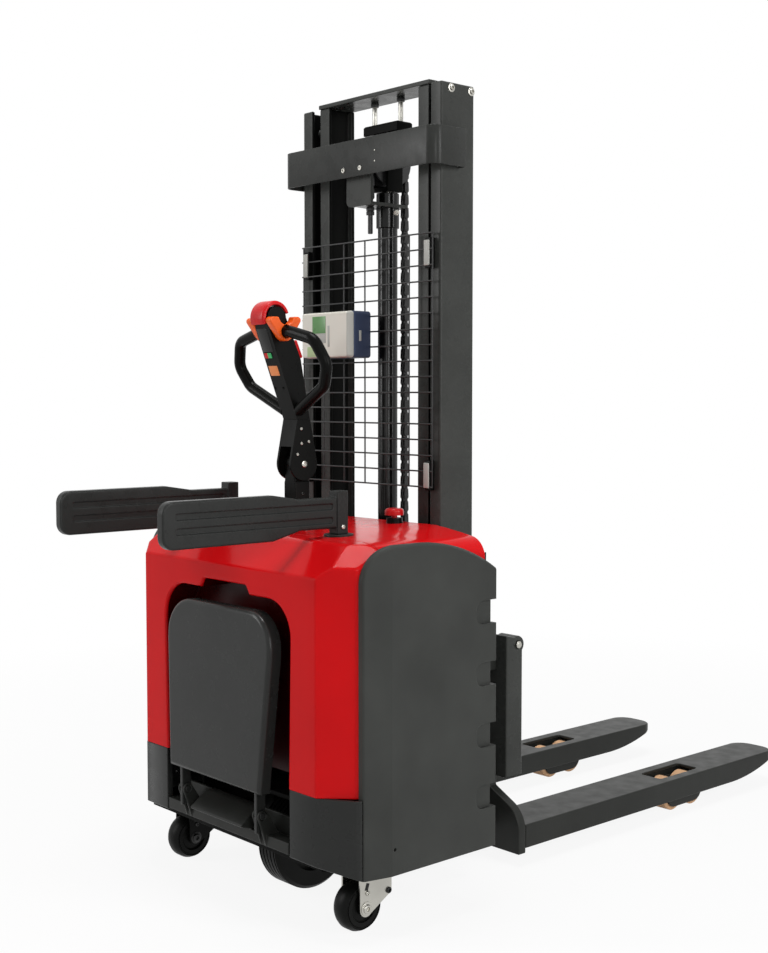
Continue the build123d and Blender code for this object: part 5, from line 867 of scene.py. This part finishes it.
class STACKER_OT_tiller_trim(Operator):
    """Fit the cap and the crown of the tiller, its plain patches, its strip and its screws"""

    bl_idname = "stacker.tiller_trim"
    bl_label = "Tiller trim"

    def cap(self):
        """Cap over the top of the head: a rounded section spun from its front over the crown to its rear."""
        clear_selection()
        middle = CAP_RADIUS - CAP_WALL / 2
        bpy.ops.mesh.primitive_plane_add(size=1, location=(0, middle, 0))
        piece = bpy.context.object
        piece.scale = (CAP_WIDTH, CAP_WALL, 1)
        settle(piece)
        pick(piece, lambda spot, normal: spot.y > middle, "VERT")
        bpy.ops.mesh.bevel(offset=6 * MM, segments=4, affect="VERTICES")
        bpy.ops.mesh.select_all(action="SELECT")
        bpy.ops.mesh.delete(type="ONLY_FACE")
        bpy.ops.mesh.select_all(action="SELECT")
        bpy.ops.mesh.spin(steps=40, angle=-CAP_ARC, center=(0, 0, 0), axis=(1, 0, 0))
        bpy.ops.mesh.select_all(action="SELECT")
        bpy.ops.mesh.remove_doubles(threshold=0.01 * MM)
        bpy.ops.mesh.fill_holes(sides=0)
        bpy.ops.mesh.select_all(action="SELECT")
        bpy.ops.mesh.normals_make_consistent(inside=False)
        leave()

        def front_rim(spot, along):
            return abs(spot.z) < 0.1 * MM and spot.y > middle and abs(along.x) > 30 * MM

        pick(piece, front_rim, "EDGE")
        bpy.ops.mesh.bevel(offset=7 * MM, segments=4)
        leave()
        modify(piece, "BEVEL", width=1.5 * MM, segments=2, limit_method="ANGLE", angle_limit=radians(60))
        piece.rotation_euler = (CAP_LEAN, 0, 0)
        piece.location = HEAD_CROWN
        settle(piece)
        finished(piece, "cap_shell", "reverse_cap", "signal_red", ("reverse_cap",))

    def execute(self, context):
        self.cap()
        ahead = Vector((0, cos(HEAD_LEAN), sin(HEAD_LEAN)))
        crown = turned(CROWN_PROFILE, HEAD_CROWN + ahead * CROWN_AHEAD, (1, 0, 0), 56, 1.5)
        finished(crown, "head_crown", "tiller", "moulded_black")
        lean = (HEAD_LEAN, 0, 0)
        field = plate(on_control_face(FIELD_X, FIELD_Z), FIELD_SIZE, 0.4, lean)
        finished(field, "bare_field", "tiller", "gloss_black")
        patch = plate(on_control_face(PATCH_X, PATCH_Z), PATCH_SIZE, 0.4, lean)
        finished(patch, "bare_patch", "tiller", "patch_orange")
        sunk = [screw(on_control_face(x * MM, FACE_SCREWS_Z), -ahead, 3.4, 0.8) for x in FACE_SCREWS_X]
        finished(join(sunk), "face_screws", "tiller", "mast_black")
        strip = plate(STRIP_PLACE, STRIP_SIZE, 3, (STRIP_LEAN, 0, 0))
        finished(strip, "front_strip", "tiller", "signal_red")

        yoke_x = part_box("tiller_yoke")[1].x
        screws = []
        for side in (-1, 1):
            for y, z, radius in YOKE_SCREWS:
                screws.append(screw((side * yoke_x, y * MM, z * MM), (side, 0, 0), radius, 2))
        finished(join(screws), "yoke_screws", "tiller", "plated_steel")
        x, y, z = POST_SCREW
        post = [screw((side * x, y, z), (side, 0, 0), 4, 1) for side in (-1, 1)]
        finished(join(post), "post_screws", "steering", "gloss_black")
        return {"FINISHED"}


# Name, finish, X, height over the cover's foot, width, height and thickness, in millimetres.
CHARGER_FIELDS = (
    ("charger_display", "display_green", -81, 80.5, 50, 41, 1.6),
    ("charger_strip", "charger_grey", -79, 48, 48, 23, 1.2),
    ("charger_field", "pale_green", -101.5, 16, 49, 25, 1.0),
    ("charger_slot", "charger_grey", -44.7, 52.5, 7.5, 51, 1.0),
)
VENT_Y = -362 * MM
VENT_UP = 52.5 * MM
VENT_SIZE = (1.4 * MM, 7 * MM, 25 * MM)


class STACKER_OT_charger_trim(Operator):
    """Fit the display, the bare fields and the slots of the charger"""

    bl_idname = "stacker.charger_trim"
    bl_label = "Charger trim"

    def execute(self, context):
        low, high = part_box("charger_cover")
        for name, finish_name, x, z, wide, tall, thick in CHARGER_FIELDS:
            piece = plate((x * MM, low.y, low.z + z * MM), (wide * MM, thick * MM, tall * MM), 0.4)
            finished(piece, name, "chassis", finish_name)
        vent = plate((high.x, VENT_Y, low.z + VENT_UP), VENT_SIZE, 0.5)
        finished(vent, "charger_vent", "chassis", "charger_grey")
        return {"FINISHED"}


# Pairs of radius and depth under the tyre's side, from the inner rib to the outer one, in millimetres.
TYRE_FLANK = ((31, 6), (33, 1), (42, 1), (43, 3), (46, 3), (47, 0))
HUB_FLANK = ((9, 0), (12, 0), (13, 3), (30, 5.5))
# Y and Z of the small parts on a caster's cheek, from its wheel's hub, in metres.
CHEEK_SCREW = (3 * MM, 33 * MM)
CHEEK_BOLT = (63 * MM, 26 * MM)
CHEEK_SLOT = (1.5 * MM, 47 * MM)
SLOT_SIZE = (1 * MM, 9 * MM, 16 * MM)
SLOT_LEAN = radians(-18)


class STACKER_OT_casters(Operator):
    """Turn the caster wheels with ribbed sides and fit the bolts of the caster plates"""

    bl_idname = "stacker.casters"
    bl_label = "Casters"

    def execute(self, context):
        for side, name in ((-1, "left"), (1, "right")):
            wheel_low, wheel_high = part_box("caster_wheel_" + name)
            hub = (wheel_low + wheel_high) / 2
            radius = (wheel_high.z - wheel_low.z) / 2 / MM
            half = (wheel_high.x - wheel_low.x) / 2 / MM
            flank = [(r, half - depth) for r, depth in TYRE_FLANK]
            profile = (
                *((r, -x) for r, x in flank),
                (radius - 3, 6 - half),
                (radius, 14 - half),
                (radius, half - 14),
                (radius - 3, half - 6),
                *reversed(flank),
            )
            tyre = turned(profile, hub, (1, 0, 0), 56)
            wheel = "caster_wheel_" + name
            finished(tyre, "caster_tyre_" + name, wheel, "tyre_black", (wheel,))
            boss = [(r, half - depth) for r, depth in HUB_FLANK]
            core = turned((*((r, -x) for r, x in boss), *reversed(boss)), hub, (1, 0, 0), 40)
            finished(core, "caster_hub_" + name, wheel, "moulded_black")

            fork_low, fork_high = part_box("caster_fork_" + name)
            bright, dark = [], []
            for face_x, out in ((fork_low.x, -1), (fork_high.x, 1)):
                along = (out, 0, 0)
                axle = Vector((face_x, hub.y, hub.z))
                bright.append(turned(((15, 0), (15, 1.5)), axle, along, 28, 0.5))
                bright.append(screw(axle, along, 10, 6))
                bright.append(screw(axle + Vector((0, *CHEEK_SCREW)), along, 5.5, 3))
                dark.append(screw(axle + Vector((0, *CHEEK_BOLT)), along, 7, 4))
                dark.append(plate(axle + Vector((0, *CHEEK_SLOT)), SLOT_SIZE, 0.4, (SLOT_LEAN, 0, 0)))
            body = "caster_fork_" + name
            bolt_finish = "plated_steel" if side > 0 else "oiled_steel"
            finished(join(bright), "caster_bolts_" + name, body, bolt_finish)
            finished(join(dark), "caster_slots_" + name, body, "gloss_black")
        return {"FINISHED"}


GUARD_SCREW_Y = -580 * MM
GUARD_SCREW_Z = 861 * MM


class STACKER_OT_body_trim(Operator):
    """Fit the screws of the arm guards"""

    bl_idname = "stacker.body_trim"
    bl_label = "Body trim"

    def execute(self, context):
        for side, name in ((-1, "left"), (1, "right")):
            low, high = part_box("guard_arm_" + name)
            face_x = high.x if side > 0 else low.x
            piece = screw((face_x, GUARD_SCREW_Y, GUARD_SCREW_Z), (side, 0, 0), 5, 2)
            finished(piece, "guard_screw_" + name, "guard_arm_" + name, "plated_steel")
        return {"FINISHED"}


LAMPS_AIM = Vector((0, -0.2, 0.8))
# Name, place, width, height and power of each lamp, in metres and watts.
LAMPS = (
    ("key_lamp", (-2.6, -4.0, 2.4), 0.7, 2.8, 74),
    ("side_lamp", (4.4, 0.8, 2.2), 0.9, 2.8, 88),
    ("front_lamp", (4.5, -2.6, 2.0), 0.35, 2.4, 50),
    ("top_lamp", (0.2, -0.5, 4.6), 1.6, 1.6, 105),
)
FLOOR_SIZE = 60
WORLD_LIGHT = 0.20


class STACKER_OT_stage(Operator):
    """Set the floor, the lamps, the world and the camera"""

    bl_idname = "stacker.stage"
    bl_label = "Stage"

    def shown(self, tree):
        """One for rays of the camera, of reflections and of glass, and nothing for the rest."""
        path = tree.nodes.new("ShaderNodeLightPath")
        seen = path.outputs["Is Camera Ray"]
        for ray in ("Is Glossy Ray", "Is Transmission Ray"):
            either = tree.nodes.new("ShaderNodeMath")
            either.operation = "MAXIMUM"
            tree.links.new(seen, either.inputs[0])
            tree.links.new(path.outputs[ray], either.inputs[1])
            seen = either.outputs["Value"]
        return seen

    def floor(self):
        """Pale floor that turns white away from the truck."""
        clear_selection()
        bpy.ops.mesh.primitive_plane_add(size=FLOOR_SIZE, location=(0, 0, 0))
        floor = bpy.context.object
        floor.name = "studio_floor"
        pale = bpy.data.materials.new("floor_white")
        pale.use_nodes = True
        tree = pale.node_tree
        matt = tree.nodes["Principled BSDF"]
        matt.inputs["Base Color"].default_value = (0.82, 0.82, 0.82, 1)
        matt.inputs["Roughness"].default_value = 0.9
        glow = tree.nodes.new("ShaderNodeEmission")
        place = tree.nodes.new("ShaderNodeTexCoord")
        away = tree.nodes.new("ShaderNodeVectorMath")
        away.operation = "LENGTH"
        link(tree, place, "Object", away, 0)
        share = tree.nodes.new("ShaderNodeMath")
        share.operation = "MULTIPLY"
        tree.links.new(self.shown(tree), share.inputs[0])
        link(tree, span(tree, away, "Value", 1.0, 3.2, 0.90, 1.0), "Result", share, 1)
        blend = tree.nodes.new("ShaderNodeMixShader")
        link(tree, share, "Value", blend, 0)
        link(tree, matt, "BSDF", blend, 1)
        link(tree, glow, "Emission", blend, 2)
        link(tree, blend, "Shader", tree.nodes["Material Output"], "Surface")
        floor.data.materials.append(pale)

    def world(self, scene):
        """White for the camera and for reflections, and a plain level of light for the rest."""
        world = bpy.data.worlds.new("studio_white")
        scene.world = world
        world.use_nodes = True
        tree = world.node_tree
        light = tree.nodes["Background"]
        light.inputs["Color"].default_value = (1, 1, 1, 1)
        light.inputs["Strength"].default_value = WORLD_LIGHT
        white = tree.nodes.new("ShaderNodeBackground")
        white.inputs["Color"].default_value = (1, 1, 1, 1)
        blend = tree.nodes.new("ShaderNodeMixShader")
        tree.links.new(self.shown(tree), blend.inputs[0])
        link(tree, light, "Background", blend, 1)
        link(tree, white, "Background", blend, 2)
        link(tree, blend, "Shader", tree.nodes["World Output"], "Surface")

    def execute(self, context):
        stage = context.scene.stacker_stage
        self.floor()
        self.world(context.scene)
        for name, place, wide, tall, power in LAMPS:
            lamp = bpy.data.lights.new(name, "AREA")
            lamp.shape = "RECTANGLE"
            lamp.size = wide
            lamp.size_y = tall
            lamp.energy = power * stage.lamp_power
            holder = bpy.data.objects.new(name, lamp)
            holder.location = place
            holder.rotation_euler = (LAMPS_AIM - Vector(place)).to_track_quat("-Z", "Y").to_euler()
            context.scene.collection.objects.link(holder)

        camera = bpy.data.cameras.new("photo_camera")
        camera.sensor_fit = "VERTICAL"
        camera.sensor_height = 36
        camera.lens = stage.lens
        camera.clip_end = 100
        holder = bpy.data.objects.new("photo_camera", camera)
        holder.location = stage.camera_place
        holder.rotation_euler = (pi / 2 - stage.tilt, 0, stage.turn)
        context.scene.collection.objects.link(holder)
        context.scene.camera = holder
        context.scene.view_settings.view_transform = "Standard"
        return {"FINISHED"}


STEPS = (
    STACKER_OT_finishes,
    STACKER_OT_rounded_edges,
    STACKER_OT_wire_guard,
    STACKER_OT_chains,
    STACKER_OT_mast_cover,
    STACKER_OT_mast_fittings,
    STACKER_OT_tiller_trim,
    STACKER_OT_charger_trim,
    STACKER_OT_casters,
    STACKER_OT_body_trim,
    STACKER_OT_stage,
)


class STACKER_PT_panel(Panel):
    """List of the steps and of the values they use"""

    bl_label = "Stacker"
    bl_idname = "STACKER_PT_panel"
    bl_space_type = "VIEW_3D"
    bl_region_type = "UI"
    bl_category = "Stacker"

    def draw(self, context):
        for group in ("stacker_finishes", "stacker_sizes", "stacker_stage"):
            values = getattr(context.scene, group)
            for name in values.bl_rna.properties.keys():
                if name not in {"rna_type", "name"}:
                    self.layout.prop(values, name)
        for step in STEPS:
            self.layout.operator(step.bl_idname)


GROUPS = (StackerFinishes, StackerSizes, StackerStage)


def register():
    """Add the classes and the scene's values."""
    for item in (*GROUPS, *STEPS, STACKER_PT_panel):
        bpy.utils.register_class(item)
    bpy.types.Scene.stacker_finishes = PointerProperty(type=StackerFinishes)
    bpy.types.Scene.stacker_sizes = PointerProperty(type=StackerSizes)
    bpy.types.Scene.stacker_stage = PointerProperty(type=StackerStage)


def unregister():
    """Take the scene's values and the classes out again."""
    del bpy.types.Scene.stacker_stage
    del bpy.types.Scene.stacker_sizes
    del bpy.types.Scene.stacker_finishes
    for item in reversed((*GROUPS, *STEPS, STACKER_PT_panel)):
        bpy.utils.unregister_class(item)


def main():
    """Run every step."""
    register()
    for step in STEPS:
        group, name = step.bl_idname.split(".")
        getattr(getattr(bpy.ops, group), name)()


if __name__ == "__main__":
    main()
